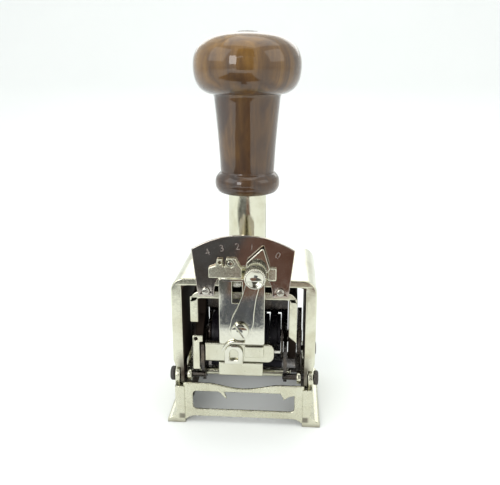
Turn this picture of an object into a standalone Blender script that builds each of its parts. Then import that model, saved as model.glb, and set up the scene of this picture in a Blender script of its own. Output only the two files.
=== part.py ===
"""Automatic hand numbering machine: a wooden-handled plunger that stamps with six number wheels.

A U-shaped outer frame stands on a cast base.  A carriage with the wheels slides down inside it on
a tube.  Two slotted linkages, driven by fixed pins in the base, swing the feed pawl up at the
front and the ink pad out to the back as the carriage drops.  Metres, +Z up, front faces -Y.
"""
import math

import bmesh
import bpy
from mathutils import Matrix, Vector

MM = 0.001

# Clearances
GAP = 0.3 * MM
SLIDE_GAP = 0.35 * MM
ROLLER_GAP = 0.7 * MM

# Outer frame: an inverted U of flat strip
FRAME_WIDTH = 55.0 * MM
FRAME_TOP = 60.3 * MM
FRAME_DEPTH = 43.0 * MM
FRAME_LEG = 4.1 * MM
FRAME_ROOF = 3.0 * MM
FRAME_CORNER = 4.5 * MM
TONGUE_THICK = 1.4 * MM
TONGUE_LENGTH = 9.0 * MM

# Base casting
BASE_FLANGE = 3.3 * MM
BASE_FLANGE_HEIGHT = 2.4 * MM
BASE_WALL = 3.8 * MM
BASE_HEIGHT = 16.0 * MM
BASE_FRONT_THICK = 1.7 * MM
BASE_FRONT_END = 17.7 * MM
BASE_FRONT_DIP = 15.6 * MM
BASE_RAIL_CLEAR = 2.2 * MM
BASE_REAR_THICK = 1.7 * MM
BASE_REAR_HEIGHT = 10.0 * MM
WINDOW_SIDE = 3.1 * MM
WINDOW_BOTTOM = 6.0 * MM
WINDOW_TOP = 13.9 * MM
SIGHT_FINGER_PLACES = (-0.34, 0.835)
SIGHT_FINGER_DROP = 2.6 * MM
SIGHT_FINGER_HALF = 1.6 * MM
EAR_THICK = 1.8 * MM
EAR_RADIUS = 3.9 * MM

# Plunger and number wheels
STROKE = 18.7 * MM
PRINT_GAP = 0.5 * MM
WHEEL_RADIUS = 10.0 * MM
WHEEL_COUNT = 6
WHEEL_GAP = 0.4 * MM
STACK_SIDE = 1.25 * MM
CHEEK_STEP = 1.0 * MM
AXLE_SETBACK = -2.0 * MM
SHAFT_RADIUS = 2.6 * MM
TUBE_RADIUS = 7.45 * MM
TUBE_WALL = 1.4 * MM
TUBE_PLUG = 4.0 * MM

# Inner frame that carries the wheels
CARRIAGE_SIDE = 1.0 * MM
CARRIAGE_LEG = 3.3 * MM
CARRIAGE_DROP = 2.0 * MM
CARRIAGE_ROOF = 3.2 * MM
CARRIAGE_TAB = 1.2 * MM
CARRIAGE_TAB_REACH = (9.5 * MM, 17.6 * MM)
CARRIAGE_MARGIN = 2.5 * MM
CARRIAGE_LEG_DEPTH = 8.6 * MM
CARRIAGE_LEG_LEAD = 1.0 * MM
CARRIAGE_LEG_ROUND = 9.5 * MM

# Wooden handle, with its heights above the handle's foot
HANDLE_CLEAR = 1.3 * MM
NECK_WALL = 2.9 * MM
NECK_FLARE = 2.2 * MM
NECK_CURVE = 1.25
BEAD_BULGE = 2.15 * MM
BEAD_RISE = 4.1 * MM
NECK_LOW_RISE = 8.7 * MM
TUBE_RISE = 32.7 * MM
NECK_TOP_RISE = 37.1 * MM
CAP_RISE = 47.3 * MM
HANDLE_RISE = 59.0 * MM
CAP_RADIUS = 20.15 * MM
CAP_UNDER_CURVE = 0.55
CAP_DOME_CURVE = 0.72
PLUG_RADIUS = 4.6 * MM
PLUG_THICK = 1.5 * MM
PLUG_CROWN = 0.7 * MM

# Guide bush on the frame roof
BUSH_WALL = 1.8 * MM
BUSH_FLANGE_REACH = 3.4 * MM
BUSH_FLANGE = 1.8 * MM
BUSH_HEIGHT = 9.0 * MM
CROSS_PIN_RADIUS = 1.1 * MM
SPRING_WIRE = 0.6 * MM
SPRING_TURNS = 11

# Fixed pins that drive the two linkages
PIN_HEIGHT = 19.0 * MM
PIN_RADIUS = 1.2 * MM
FRONT_PIN_REACH = 16.2 * MM
REAR_PIN_REACH = 10.0 * MM
PIN_HEAD_REACH = 1.6 * MM
PIN_HEAD_THICK = 1.9 * MM
PIN_RING_WALL = 1.2 * MM
PIN_RING_LENGTH = 1.7 * MM

# Feed linkage, the front swing, with its heights about the wheel axle
SWING_THICK = 1.4 * MM
SWING_MARGIN = 0.56 * MM
SWING_NOSE = 1.0 * MM
SWING_HUB = 5.2 * MM
SWING_TINE = 1.9 * MM
BAR_DROP = 3.3 * MM
BAR_RISE = 4.4 * MM
BAR_SHORT = 3.55 * MM
BAR_THICK = 2.6 * MM
BLOCK_DROP = 9.2 * MM
BLOCK_LEFT = -9.8 * MM
BLOCK_RIGHT = 7.5 * MM
BLOCK_THICK = 3.6 * MM
LUG_X = -3.75 * MM
LUG_RISE = 0.8 * MM
LUG_RADIUS = 3.6 * MM
LUG_BORE = 1.7 * MM
LUG_BORE_DROP = 2.8 * MM
LUG_THICK = 1.1 * MM
COVER_LEFT = 0.4 * MM
COVER_RIGHT = 7.8 * MM
COVER_DROP = 0.6 * MM
COVER_RISE = 4.0 * MM
BRACKET_SIDE = 0.45 * MM
BRACKET_HOOK = 0.85 * MM
BRACKET_DROP = 7.0 * MM
BRACKET_RISE = 7.4 * MM
BRACKET_HOOK_HEIGHT = 2.7 * MM
BRACKET_THICK = 1.2 * MM
BRACKET_HOLE = 0.8 * MM
BRACKET_HOLE_EDGE = 1.35 * MM
TIE_ROD_RADIUS = 1.55 * MM
TIE_ROD_WALL = 1.4 * MM
TIE_ROD_REACH = 16.0 * MM
TIE_ROD_ANGLE = math.radians(-43.0)
TIE_ROD_OVER = 1.55 * MM
TIE_ROD_EASE = 0.6 * MM

# Spring combs: the feed pawl in front of the wheels and the detent above them
COMB_LEAD = 0.5 * MM
COMB_TRAIL = 1.1 * MM
PAWL_LAND = 0.45 * MM
PAWL_THICK = 1.2 * MM
PAWL_BACK = 1.2 * MM
PAWL_ROOT = 1.5 * MM
DETENT_LAND = 0.6 * MM
DETENT_THICK = 0.7 * MM
DETENT_FINGER = 1.5 * MM
DETENT_ROD_RADIUS = 1.3 * MM
DETENT_ROD_BACK = 4.4 * MM
BACK_PLATE_THICK = 0.8 * MM
BACK_PLATE_REACH = 5.2 * MM

# Ink carrier, the rear swing
INK_ARM_THICK = 1.7 * MM
INK_ARM_TOP = 11.4 * MM
INK_ARM_TOP_RADIUS = 1.5 * MM
INK_TINE = 1.5 * MM
INK_ARM_MARGIN = 0.6 * MM
INK_PAD_GAP = 0.35 * MM
INK_PAD_THICK = 2.6 * MM
INK_PAD_SIDE = 0.5 * MM
INK_PAD_SLACK = math.radians(3.0)
INK_TRAY_THICK = 1.1 * MM
INK_SPAN = math.radians(24.0)

# Dial, front plate and pointer, with their heights above the underside of the carriage roof
DIAL_THICK = 1.2 * MM
DIAL_FOOT_RISE = 1.8 * MM
DIAL_NOTCH_RISE = 13.9 * MM
DIAL_SHOULDER_RISE = 20.1 * MM
DIAL_APEX_RISE = 25.6 * MM
DIAL_SHOULDER_HALF = 19.0 * MM
DIAL_FOOT_HALF = 17.0 * MM
DIAL_NOTCH_HALF = 10.8 * MM
DIAL_SCREW_RADIUS = 1.5 * MM
DIAL_SCREW_RISE = 2.2 * MM
DIAL_SCREW_THICK = 0.8 * MM
PLATE_THICK = 1.2 * MM
PLATE_DROP = 16.8 * MM
PLATE_RISE = 9.3 * MM
PLATE_LEFT = -8.9 * MM
PLATE_RIGHT = 8.2 * MM
PLATE_CORNER = 1.0 * MM
SLOT_LEFT = -3.9 * MM
SLOT_RIGHT = -0.2 * MM
SLOT_DROP = 0.2 * MM
SLOT_RISE = 8.4 * MM
SLOT_COIL_RADIUS = 1.0 * MM
SLOT_COIL_WIRE = 0.25 * MM
SLOT_COIL_TURNS = 5
BRIDGE_LEFT = -12.6 * MM
BRIDGE_RIGHT = -0.3 * MM
BRIDGE_HEIGHT = 7.6 * MM
BRIDGE_LEFT_STEP = 4.4 * MM
BRIDGE_RIGHT_STEP = 3.4 * MM
BRIDGE_LEFT_SLOPE = 2.8 * MM
BRIDGE_RIGHT_SLOPE = 2.3 * MM
BRIDGE_HOLE_X = -8.6 * MM
BRIDGE_HOLE_RISE = 5.6 * MM
BRIDGE_HOLE_RADIUS = 0.8 * MM
STUD_X = -4.6 * MM
STUD_RADIUS = 1.1 * MM
STOP_LEFT = 9.2 * MM
STOP_WIDTH = 3.2 * MM
STOP_HEIGHT = 4.9 * MM
STOP_DROP = 0.5 * MM
POINTER_X = -0.85 * MM
POINTER_DROP = 10.3 * MM
POINTER_THICK = 1.2 * MM
POINTER_TILT = math.radians(14.6)
POINTER_TIP = 32.8 * MM
POINTER_POINT = 0.35 * MM
POINTER_BOSS = 4.2 * MM
POINTER_FLANK = ((3.0, 4.2), (13.6, 2.7), (19.4, 2.6), (23.8, 3.2), (25.6, 4.3), (26.3, 4.3))
PIVOT_RADIUS = 1.5 * MM
PIVOT_HEAD_RADIUS = 3.3 * MM
PIVOT_HEAD_EASE = 0.4 * MM
PIVOT_HEAD_THICK = 1.3 * MM
PIVOT_SLOT_HALF = 0.35 * MM
PIVOT_SLOT_DEPTH = 0.6 * MM
PIVOT_SLOT_ANGLE = math.radians(-57.0)
LEAF_LEFT = 1.2 * MM
LEAF_DROP = 10.9 * MM
LEAF_RADIUS = 6.4 * MM
LEAF_THICK = 0.8 * MM
LEAF_FROM = math.radians(62.0)
LEAF_TO = math.radians(160.0)
KNOB_REACH = 23.3 * MM
KNOB_RADIUS = 4.0 * MM
KNOB_RIM = 1.04 * MM
KNOB_DISH = 0.7 * MM
KNOB_HOLLOW = 1.0 * MM
KNOB_LENGTH = 6.4 * MM

# Places that follow from the sizes above
FRAME_HALF = FRAME_WIDTH / 2
FRAME_FRONT = -FRAME_DEPTH / 2
FRAME_BACK = FRAME_DEPTH / 2
FRAME_UNDER = FRAME_TOP - FRAME_ROOF
LEG_INNER = FRAME_HALF - FRAME_LEG
BASE_OUTER = FRAME_HALF - 2 * GAP
BASE_INNER = BASE_OUTER - BASE_WALL
WINDOW_HALF = BASE_INNER - WINDOW_SIDE
EAR_INNER = BASE_OUTER - EAR_THICK
EAR_TOP = PIN_HEIGHT + EAR_RADIUS
LEG_BOTTOM = EAR_TOP + GAP
BASE_FRONT = FRAME_FRONT - GAP - BASE_FRONT_THICK - GAP / 3
AXLE_HEIGHT = STROKE + PRINT_GAP + WHEEL_RADIUS
AXLE_Y = AXLE_SETBACK
FRONT_PIN_Y = AXLE_Y - FRONT_PIN_REACH
REAR_PIN_Y = AXLE_Y + REAR_PIN_REACH
CARRIAGE_HALF = LEG_INNER - CARRIAGE_SIDE - INK_ARM_THICK - SLIDE_GAP
CARRIAGE_INNER = CARRIAGE_HALF - CARRIAGE_LEG
CARRIAGE_TOP = FRAME_UNDER - CARRIAGE_DROP
CARRIAGE_UNDER = CARRIAGE_TOP - CARRIAGE_ROOF
CARRIAGE_BACK = TUBE_RADIUS + CARRIAGE_MARGIN
HANDLE_BOTTOM = FRAME_TOP + BUSH_HEIGHT + STROKE + HANDLE_CLEAR
BEAD_HEIGHT = HANDLE_BOTTOM + BEAD_RISE
NECK_LOW = HANDLE_BOTTOM + NECK_LOW_RISE
NECK_TOP = HANDLE_BOTTOM + NECK_TOP_RISE
CAP_HEIGHT = HANDLE_BOTTOM + CAP_RISE
HANDLE_TOP = HANDLE_BOTTOM + HANDLE_RISE
TUBE_TOP = HANDLE_BOTTOM + TUBE_RISE
NECK_LOW_RADIUS = TUBE_RADIUS + NECK_WALL
NECK_TOP_RADIUS = NECK_LOW_RADIUS + NECK_FLARE
BEAD_RADIUS = NECK_LOW_RADIUS + BEAD_BULGE
BUSH_RADIUS = TUBE_RADIUS + SLIDE_GAP + BUSH_WALL
BUSH_FLANGE_RADIUS = BUSH_RADIUS + BUSH_FLANGE_REACH
TUBE_BORE = TUBE_RADIUS - TUBE_WALL
PIN_DROP = AXLE_HEIGHT - PIN_HEIGHT
SWING_REACH = math.hypot(PIN_DROP, FRONT_PIN_REACH) + SWING_MARGIN
SWING_FACE = AXLE_Y - SWING_REACH + SWING_NOSE + GAP / 3
BAR_LOW = AXLE_HEIGHT - BAR_DROP
BAR_HIGH = AXLE_HEIGHT + BAR_RISE
DIAL_FOOT = CARRIAGE_UNDER + DIAL_FOOT_RISE
PLATE_HIGH = CARRIAGE_UNDER + PLATE_RISE
SLOT_HIGH = CARRIAGE_UNDER + SLOT_RISE
POINTER_Z = CARRIAGE_UNDER - POINTER_DROP
DIAL_BACK = FRAME_FRONT - GAP
DIAL_FRONT = DIAL_BACK - DIAL_THICK
PLATE_BACK = DIAL_FRONT - GAP
PLATE_FRONT = PLATE_BACK - PLATE_THICK
POINTER_BACK = PLATE_FRONT - GAP
POINTER_FRONT = POINTER_BACK - POINTER_THICK
KNOB_BACK = POINTER_FRONT - GAP
KNOB_FRONT = KNOB_BACK - KNOB_LENGTH
INK_ARM_INNER = CARRIAGE_HALF + SLIDE_GAP
INK_ARM_OUTER = INK_ARM_INNER + INK_ARM_THICK
SWING_OUTER = CARRIAGE_INNER - GAP
SWING_INNER = SWING_OUTER - SWING_THICK
STACK_HALF = SWING_INNER - STACK_SIDE
WHEEL_PITCH = 2 * STACK_HALF / WHEEL_COUNT
WHEEL_WIDTH = WHEEL_PITCH - WHEEL_GAP
INK_PAD_INNER = WHEEL_RADIUS + INK_PAD_GAP
BUSH_BORE = TUBE_RADIUS + SLIDE_GAP
CROSS_PIN_HEIGHT = FRAME_TOP + BUSH_HEIGHT / 2

MATERIALS = {
    "nickel": ((0.62, 0.60, 0.50), 0.22, 1.0),
    "dark_nickel": ((0.16, 0.12, 0.10), 0.18, 1.0),
    "steel": ((0.40, 0.39, 0.34), 0.32, 1.0),
    "dark_steel": ((0.05, 0.05, 0.05), 0.40, 1.0),
    "inked_brass": ((0.035, 0.03, 0.03), 0.45, 0.6),
    "varnished_wood": ((0.13, 0.05, 0.015), 0.20, 0.0),
    "felt": ((0.02, 0.02, 0.03), 0.95, 0.0),
    "fibre": ((0.10, 0.04, 0.02), 0.80, 0.0),
}


def clear_scene():
    """Take every object out of the scene, so that the model starts empty."""
    for old in list(bpy.data.objects):
        bpy.data.objects.remove(old, do_unlink=True)


def make_material(name, look):
    """One Principled material with a colour, a roughness and a metallic value."""
    colour, roughness, metallic = MATERIALS[look]
    material = bpy.data.materials.new(name)
    material.use_nodes = True
    shader = material.node_tree.nodes["Principled BSDF"]
    shader.inputs["Base Color"].default_value = (*colour, 1.0)
    shader.inputs["Roughness"].default_value = roughness
    shader.inputs["Metallic"].default_value = metallic
    return material


def make_empty(name, place, parent=None):
    """A parent for one moving body, with its place on the joint's axis."""
    empty = bpy.data.objects.new(name, None)
    bpy.context.collection.objects.link(empty)
    empty.parent = parent
    empty.location = Vector(place) - (parent_place(parent) if parent else Vector())
    return empty


def parent_place(parent):
    """The place of an empty in the machine's own frame, before the whole is centred."""
    place = Vector()
    while parent is not None and parent.name != "machine":
        place += parent.location
        parent = parent.parent
    return place


def finish_mesh(name, mesh, parent, look):
    """Put a mesh made in the machine's frame under its parent, with its origin on the parent's."""
    pivot = parent_place(parent)
    mesh.transform(Matrix.Translation(-pivot))
    part = bpy.data.objects.new(name, mesh)
    bpy.context.collection.objects.link(part)
    part.parent = parent
    mesh.materials.append(make_material(name, look))
    return part


def mesh_from(name, build):
    """A new mesh with its faces turned out, filled by a function of a bmesh."""
    bm = bmesh.new()
    build(bm)
    bmesh.ops.recalc_face_normals(bm, faces=bm.faces)
    mesh = bpy.data.meshes.new(name)
    bm.to_mesh(mesh)
    bm.free()
    return mesh


def on_axis(axis, u, v, along):
    """A point from its two outline coordinates and its place along the axis."""
    if axis == "X":
        return (along, u, v)
    if axis == "Y":
        return (u, along, v)
    return (u, v, along)


def prism(outline, axis, start, end):
    """A builder for an outline drawn across an axis and extruded along it."""
    def build(bm):
        near = [bm.verts.new(on_axis(axis, u, v, start)) for u, v in outline]
        far = [bm.verts.new(on_axis(axis, u, v, end)) for u, v in outline]
        bm.faces.new(near)
        bm.faces.new(reversed(far))
        for i in range(len(outline)):
            j = (i + 1) % len(outline)
            bm.faces.new((near[j], near[i], far[i], far[j]))
    return build


def lathe(profile, axis, centre, segments):
    """A builder for a closed profile of (radius, along) points turned about an axis."""
    def build(bm):
        rings = []
        for radius, along in profile:
            if radius < 1e-7:
                rings.append([bm.verts.new(on_axis(axis, centre[0], centre[1], along))] * segments)
                continue
            ring = []
            for k in range(segments):
                angle = 2 * math.pi * k / segments
                u = centre[0] + radius * math.cos(angle)
                v = centre[1] + radius * math.sin(angle)
                ring.append(bm.verts.new(on_axis(axis, u, v, along)))
            rings.append(ring)
        closed = profile[0][0] > 1e-7
        count = len(rings) if closed else len(rings) - 1
        for i in range(count):
            here, there = rings[i], rings[(i + 1) % len(rings)]
            for k in range(segments):
                n = (k + 1) % segments
                corners = []
                for vert in (here[k], here[n], there[n], there[k]):
                    if vert not in corners:
                        corners.append(vert)
                bm.faces.new(corners)
    return build


def disc(radius, start, end):
    """The closed profile of a solid disc."""
    return [(0, start), (radius, start), (radius, end), (0, end)]


def ring(outer, inner, start, end):
    """The closed profile of a ring."""
    return [(inner, start), (outer, start), (outer, end), (inner, end)]


def box_outline(u0, u1, v0, v1):
    """The four corners of a rectangle."""
    return [(u0, v0), (u1, v0), (u1, v1), (u0, v1)]


def arc(centre, radius, start, end, steps):
    """Points along an arc, with its angles in radians."""
    points = []
    for i in range(steps + 1):
        angle = start + (end - start) * i / steps
        points.append((centre[0] + radius * math.cos(angle), centre[1] + radius * math.sin(angle)))
    return points


def rounded_outline(u0, u1, v0, v1, radius, steps=4):
    """A rectangle with round corners."""
    quarter = math.pi / 2
    corners = ((u1 - radius, v0 + radius, -quarter), (u1 - radius, v1 - radius, 0.0),
               (u0 + radius, v1 - radius, quarter), (u0 + radius, v0 + radius, 2 * quarter))
    points = []
    for u, v, start in corners:
        points += arc((u, v), radius, start, start + quarter, steps)
    return points


def solid(name, build, parent, look, bevel=0.0, smooth=False):
    """One sub-part from one builder, with a small bevel on its sharp edges if it has one."""
    part = finish_mesh(name, mesh_from(name, build), parent, look)
    if smooth:
        part.data.shade_smooth()
        part.data.set_sharp_from_angle(angle=math.radians(35))
    if bevel:
        edge = part.modifiers.new("edge", "BEVEL")
        edge.width = bevel
        edge.segments = 1
        edge.limit_method = "ANGLE"
        edge.angle_limit = math.radians(50)
        edge.use_clamp_overlap = True
    return part


def combine(part, build, operation):
    """Join a second shape to a sub-part, or cut it away, with an exact Boolean."""
    label = f"{part.name}.{operation.lower()}.{len(part.modifiers)}"
    tool = finish_mesh(label, mesh_from(label, build), part.parent, "steel")
    tool.hide_render = True
    tool.display_type = "WIRE"
    step = part.modifiers.new(label, "BOOLEAN")
    step.operation = operation
    step.solver = "EXACT"
    step.object = tool


def cut(part, build):
    """Cut a shape out of a sub-part."""
    combine(part, build, "DIFFERENCE")


def join(part, build):
    """Join a shape to a sub-part."""
    combine(part, build, "UNION")


def soften(part, width):
    """A small bevel after the Booleans, on the sharp edges that they leave."""
    edge = part.modifiers.new("edge", "BEVEL")
    edge.width = width
    edge.segments = 1
    edge.limit_method = "ANGLE"
    edge.angle_limit = math.radians(50)


def polar(reach, angle):
    """A point of the side view about the wheel axle, with the angle up from the rear."""
    return (AXLE_Y + reach * math.cos(angle), AXLE_HEIGHT + reach * math.sin(angle))


def front_polar(reach, angle):
    """A point of the side view about the wheel axle, with the angle up from the front."""
    return polar(reach, math.pi - angle)


def sides():
    """The two sides of the machine, with the sign of X and the word used in names."""
    return ((-1, "left"), (1, "right"))


def outer_frame(fixed):
    """The inverted U of strip, with a tongue at each leg for every fixed pin."""
    inner = FRAME_CORNER - FRAME_LEG / 2
    outline = [(LEG_INNER, LEG_BOTTOM), (FRAME_HALF, LEG_BOTTOM)]
    outline += arc((FRAME_HALF - FRAME_CORNER, FRAME_TOP - FRAME_CORNER), FRAME_CORNER, 0, math.pi / 2, 5)
    outline += arc((-FRAME_HALF + FRAME_CORNER, FRAME_TOP - FRAME_CORNER), FRAME_CORNER,
                   math.pi / 2, math.pi, 5)
    outline += [(-FRAME_HALF, LEG_BOTTOM), (-LEG_INNER, LEG_BOTTOM)]
    outline += arc((-LEG_INNER + inner, FRAME_UNDER - inner), inner, math.pi, math.pi / 2, 3)
    outline += arc((LEG_INNER - inner, FRAME_UNDER - inner), inner, math.pi / 2, 0, 3)
    frame = solid("outer_frame", prism(outline, "Y", FRAME_FRONT, FRAME_BACK), fixed, "nickel")
    for sign, _ in sides():
        near = sign * LEG_INNER
        far = sign * (LEG_INNER + TONGUE_THICK)
        for pin_y in (FRONT_PIN_Y, REAR_PIN_Y):
            front = max(pin_y - TONGUE_LENGTH / 2, FRAME_FRONT)
            tongue = box_outline(front, pin_y + TONGUE_LENGTH / 2,
                                 BASE_HEIGHT + GAP, LEG_BOTTOM + FRAME_LEG)
            join(frame, prism(tongue, "X", min(near, far), max(near, far)))
            hole = disc(PIN_RADIUS + GAP, min(near, far) - GAP, max(near, far) + GAP)
            cut(frame, lathe(hole, "X", (pin_y, PIN_HEIGHT), 16))
    cut(frame, lathe(disc(BUSH_RADIUS - GAP, FRAME_UNDER - GAP, FRAME_TOP + GAP), "Z", (0, 0), 32))
    soften(frame, 0.35 * MM)


def base_frame(fixed):
    """The open casting: side walls with ears, a window at the front and a flange at the floor."""
    wide = BASE_OUTER + BASE_FLANGE
    back = FRAME_BACK
    profile = [(BASE_INNER, 0), (wide, 0), (wide, BASE_FLANGE_HEIGHT),
               (BASE_OUTER + BASE_FLANGE * 0.3, BASE_FLANGE_HEIGHT + BASE_FLANGE * 0.4),
               (BASE_OUTER, BASE_FLANGE_HEIGHT + BASE_FLANGE), (BASE_OUTER, BASE_HEIGHT),
               (BASE_INNER, BASE_HEIGHT)]
    base = solid("base_frame", prism(profile, "Y", BASE_FRONT, back), fixed, "nickel")
    join(base, prism([(-x, z) for x, z in profile], "Y", BASE_FRONT, back))
    half = BASE_OUTER - GAP
    dip = [(-half, BASE_RAIL_CLEAR), (half, BASE_RAIL_CLEAR), (half, BASE_FRONT_END)]
    for i in range(9):
        x = half * (0.75 - 1.5 * i / 8)
        sink = (BASE_FRONT_END - BASE_FRONT_DIP) * min(1.0, 2.2 * math.cos(math.pi * i / 8 - math.pi / 2))
        dip.append((x, BASE_FRONT_END - sink))
    dip.append((-half, BASE_FRONT_END))
    join(base, prism(dip, "Y", BASE_FRONT, BASE_FRONT + BASE_FRONT_THICK))
    rear = box_outline(-half, half, 0, BASE_REAR_HEIGHT)
    join(base, prism(rear, "Y", back - BASE_REAR_THICK, back))
    window = [(-WINDOW_HALF, WINDOW_BOTTOM), (WINDOW_HALF, WINDOW_BOTTOM), (WINDOW_HALF, WINDOW_TOP)]
    for place in reversed(SIGHT_FINGER_PLACES):
        x = place * WINDOW_HALF
        window += [(x + SIGHT_FINGER_HALF, WINDOW_TOP), (x, WINDOW_TOP - SIGHT_FINGER_DROP),
                   (x - SIGHT_FINGER_HALF, WINDOW_TOP)]
    window.append((-WINDOW_HALF, WINDOW_TOP))
    cut(base, prism(window, "Y", BASE_FRONT - GAP, BASE_FRONT + BASE_FRONT_THICK + GAP))
    for sign, _ in sides():
        near, far = sorted((sign * EAR_INNER, sign * BASE_OUTER))
        for pin_y in (FRONT_PIN_Y, REAR_PIN_Y):
            ear = [(pin_y - EAR_RADIUS, BASE_HEIGHT - GAP), (pin_y + EAR_RADIUS, BASE_HEIGHT - GAP)]
            ear += arc((pin_y, PIN_HEIGHT), EAR_RADIUS, 0, math.pi, 8)
            join(base, prism(ear, "X", near, far))
            hole = disc(PIN_RADIUS + GAP, near - GAP, far + GAP)
            cut(base, lathe(hole, "X", (pin_y, PIN_HEIGHT), 16))


def guide_bush(fixed):
    """The flanged bush that guides the tube, with a cross pin for the spring to stand on."""
    profile = [(BUSH_BORE, FRAME_UNDER), (BUSH_RADIUS - 2 * GAP, FRAME_UNDER),
               (BUSH_RADIUS - 2 * GAP, FRAME_TOP + GAP), (BUSH_FLANGE_RADIUS, FRAME_TOP + GAP),
               (BUSH_FLANGE_RADIUS, FRAME_TOP + BUSH_FLANGE), (BUSH_RADIUS + GAP, FRAME_TOP + BUSH_FLANGE),
               (BUSH_RADIUS, FRAME_TOP + BUSH_HEIGHT), (BUSH_BORE, FRAME_TOP + BUSH_HEIGHT)]
    bush = solid("guide_bush", lathe(profile, "Z", (0, 0), 36), fixed, "nickel", smooth=True)
    hole = disc(CROSS_PIN_RADIUS + GAP, -BUSH_FLANGE_RADIUS, BUSH_FLANGE_RADIUS)
    cut(bush, lathe(hole, "X", (0, CROSS_PIN_HEIGHT), 16))
    pin = disc(CROSS_PIN_RADIUS, -BUSH_RADIUS, BUSH_RADIUS)
    solid("spring_cross_pin", lathe(pin, "X", (0, CROSS_PIN_HEIGHT), 14), fixed, "steel", smooth=True)


def knurled(radius, teeth, depth):
    """The outline of a knurled disc, with one shallow groove a tooth."""
    points = []
    for k in range(teeth * 2):
        angle = math.pi * k / teeth
        reach = radius - depth * (k % 2)
        points.append((reach * math.cos(angle), reach * math.sin(angle)))
    return points


def fixed_pins(fixed):
    """Four pins through the ears and tongues, each with a knurled head, and two spacer rings."""
    for place, pin_y, inner in (("front", FRONT_PIN_Y, SWING_INNER - GAP), ("rear", REAR_PIN_Y, INK_ARM_INNER)):
        for sign, side in sides():
            outer = BASE_OUTER + GAP
            shaft = disc(PIN_RADIUS, sign * inner, sign * outer)
            pin = solid(f"{place}_pin_{side}", lathe(shaft, "X", (pin_y, PIN_HEIGHT), 14), fixed, "steel")
            head = [(pin_y + u, PIN_HEIGHT + v) for u, v in knurled(PIN_RADIUS + PIN_HEAD_REACH, 14, 0.25 * MM)]
            near, far = sorted((sign * outer, sign * (outer + PIN_HEAD_THICK)))
            if sign < 0:
                far += GAP / 2
            else:
                near -= GAP / 2
            join(pin, prism(head, "X", near, far))
    for sign, side in sides():
        near, far = sorted((sign * (CARRIAGE_HALF + GAP), sign * (CARRIAGE_HALF + GAP + PIN_RING_LENGTH)))
        profile = ring(PIN_RADIUS + GAP + PIN_RING_WALL, PIN_RADIUS + GAP, near, far)
        solid(f"front_pin_ring_{side}", lathe(profile, "X", (FRONT_PIN_Y, PIN_HEIGHT), 20), fixed,
              "nickel", smooth=True)


def handle_profile():
    """The turned outline of the handle from the bore at the bottom round to the recess at the top."""
    bore = TUBE_RADIUS + GAP
    points = [(0, TUBE_TOP + GAP), (bore, TUBE_TOP + GAP), (bore, HANDLE_BOTTOM)]
    points += [(NECK_LOW_RADIUS, HANDLE_BOTTOM)]
    bead_mid = (NECK_LOW_RADIUS - 0.6 * MM, BEAD_HEIGHT)
    bulge = BEAD_RADIUS - bead_mid[0]
    rise = BEAD_HEIGHT - HANDLE_BOTTOM
    for i in range(1, 6):
        angle = math.pi * (i / 6 - 0.5)
        points.append((bead_mid[0] + bulge * math.cos(angle), BEAD_HEIGHT + rise * math.sin(angle)))
    points.append((NECK_LOW_RADIUS, NECK_LOW))
    for i in range(1, 4):
        t = i / 4
        flare = (NECK_TOP_RADIUS - NECK_LOW_RADIUS) * t ** NECK_CURVE
        points.append((NECK_LOW_RADIUS + flare, NECK_LOW + (NECK_TOP - NECK_LOW) * t))
    points.append((NECK_TOP_RADIUS, NECK_TOP))
    lower = CAP_HEIGHT - NECK_TOP
    for i in range(1, 6):
        angle = math.pi / 2 * i / 5
        spread = math.sin(angle) ** CAP_UNDER_CURVE
        points.append((NECK_TOP_RADIUS + (CAP_RADIUS - NECK_TOP_RADIUS) * spread,
                       CAP_HEIGHT - lower * math.cos(angle)))
    upper = HANDLE_TOP - CAP_HEIGHT
    flat = PLUG_RADIUS + GAP
    for i in range(1, 6):
        angle = math.pi / 2 * i / 6
        reach = math.cos(angle) ** CAP_DOME_CURVE
        points.append((flat + (CAP_RADIUS - flat) * reach, CAP_HEIGHT + upper * math.sin(angle)))
    points += [(flat, HANDLE_TOP), (flat, HANDLE_TOP - PLUG_THICK), (0, HANDLE_TOP - PLUG_THICK)]
    return points


def handle(plunger):
    """The varnished wooden handle and the small plug that covers its screw."""
    solid("wooden_handle", lathe(handle_profile(), "Z", (0, 0), 32), plunger, "varnished_wood", smooth=True)
    crown = HANDLE_TOP + PLUG_CROWN
    plug = [(0, HANDLE_TOP - PLUG_THICK + GAP), (PLUG_RADIUS, HANDLE_TOP - PLUG_THICK + GAP),
            (PLUG_RADIUS, HANDLE_TOP), (PLUG_RADIUS * 0.8, crown - GAP), (0, crown)]
    solid("handle_plug", lathe(plug, "Z", (0, 0), 24), plunger, "dark_steel", smooth=True)


def plunger_tube(plunger):
    """The nickel tube with two long side slots for the cross pin, its top plug and its collar."""
    profile = ring(TUBE_RADIUS, TUBE_BORE, CARRIAGE_UNDER, TUBE_TOP)
    tube = solid("plunger_tube", lathe(profile, "Z", (0, 0), 32), plunger, "nickel", smooth=True)
    half = CROSS_PIN_RADIUS + GAP
    low = CROSS_PIN_HEIGHT - half - GAP
    slot = box_outline(-half, half, low, CROSS_PIN_HEIGHT + STROKE + half + GAP)
    for sign, _ in sides():
        near, far = sorted((sign * TUBE_BORE * 0.6, sign * (TUBE_RADIUS + GAP)))
        cut(tube, prism(slot, "X", near, far))
    profile = disc(TUBE_BORE - GAP, TUBE_TOP - TUBE_PLUG, TUBE_TOP - GAP)
    solid("tube_plug", lathe(profile, "Z", (0, 0), 20), plunger, "steel", smooth=True)
    profile = ring(BUSH_RADIUS, TUBE_RADIUS + GAP, CARRIAGE_TOP + GAP, FRAME_UNDER - GAP)
    solid("stop_collar", lathe(profile, "Z", (0, 0), 28), plunger, "fibre", smooth=True)


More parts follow.
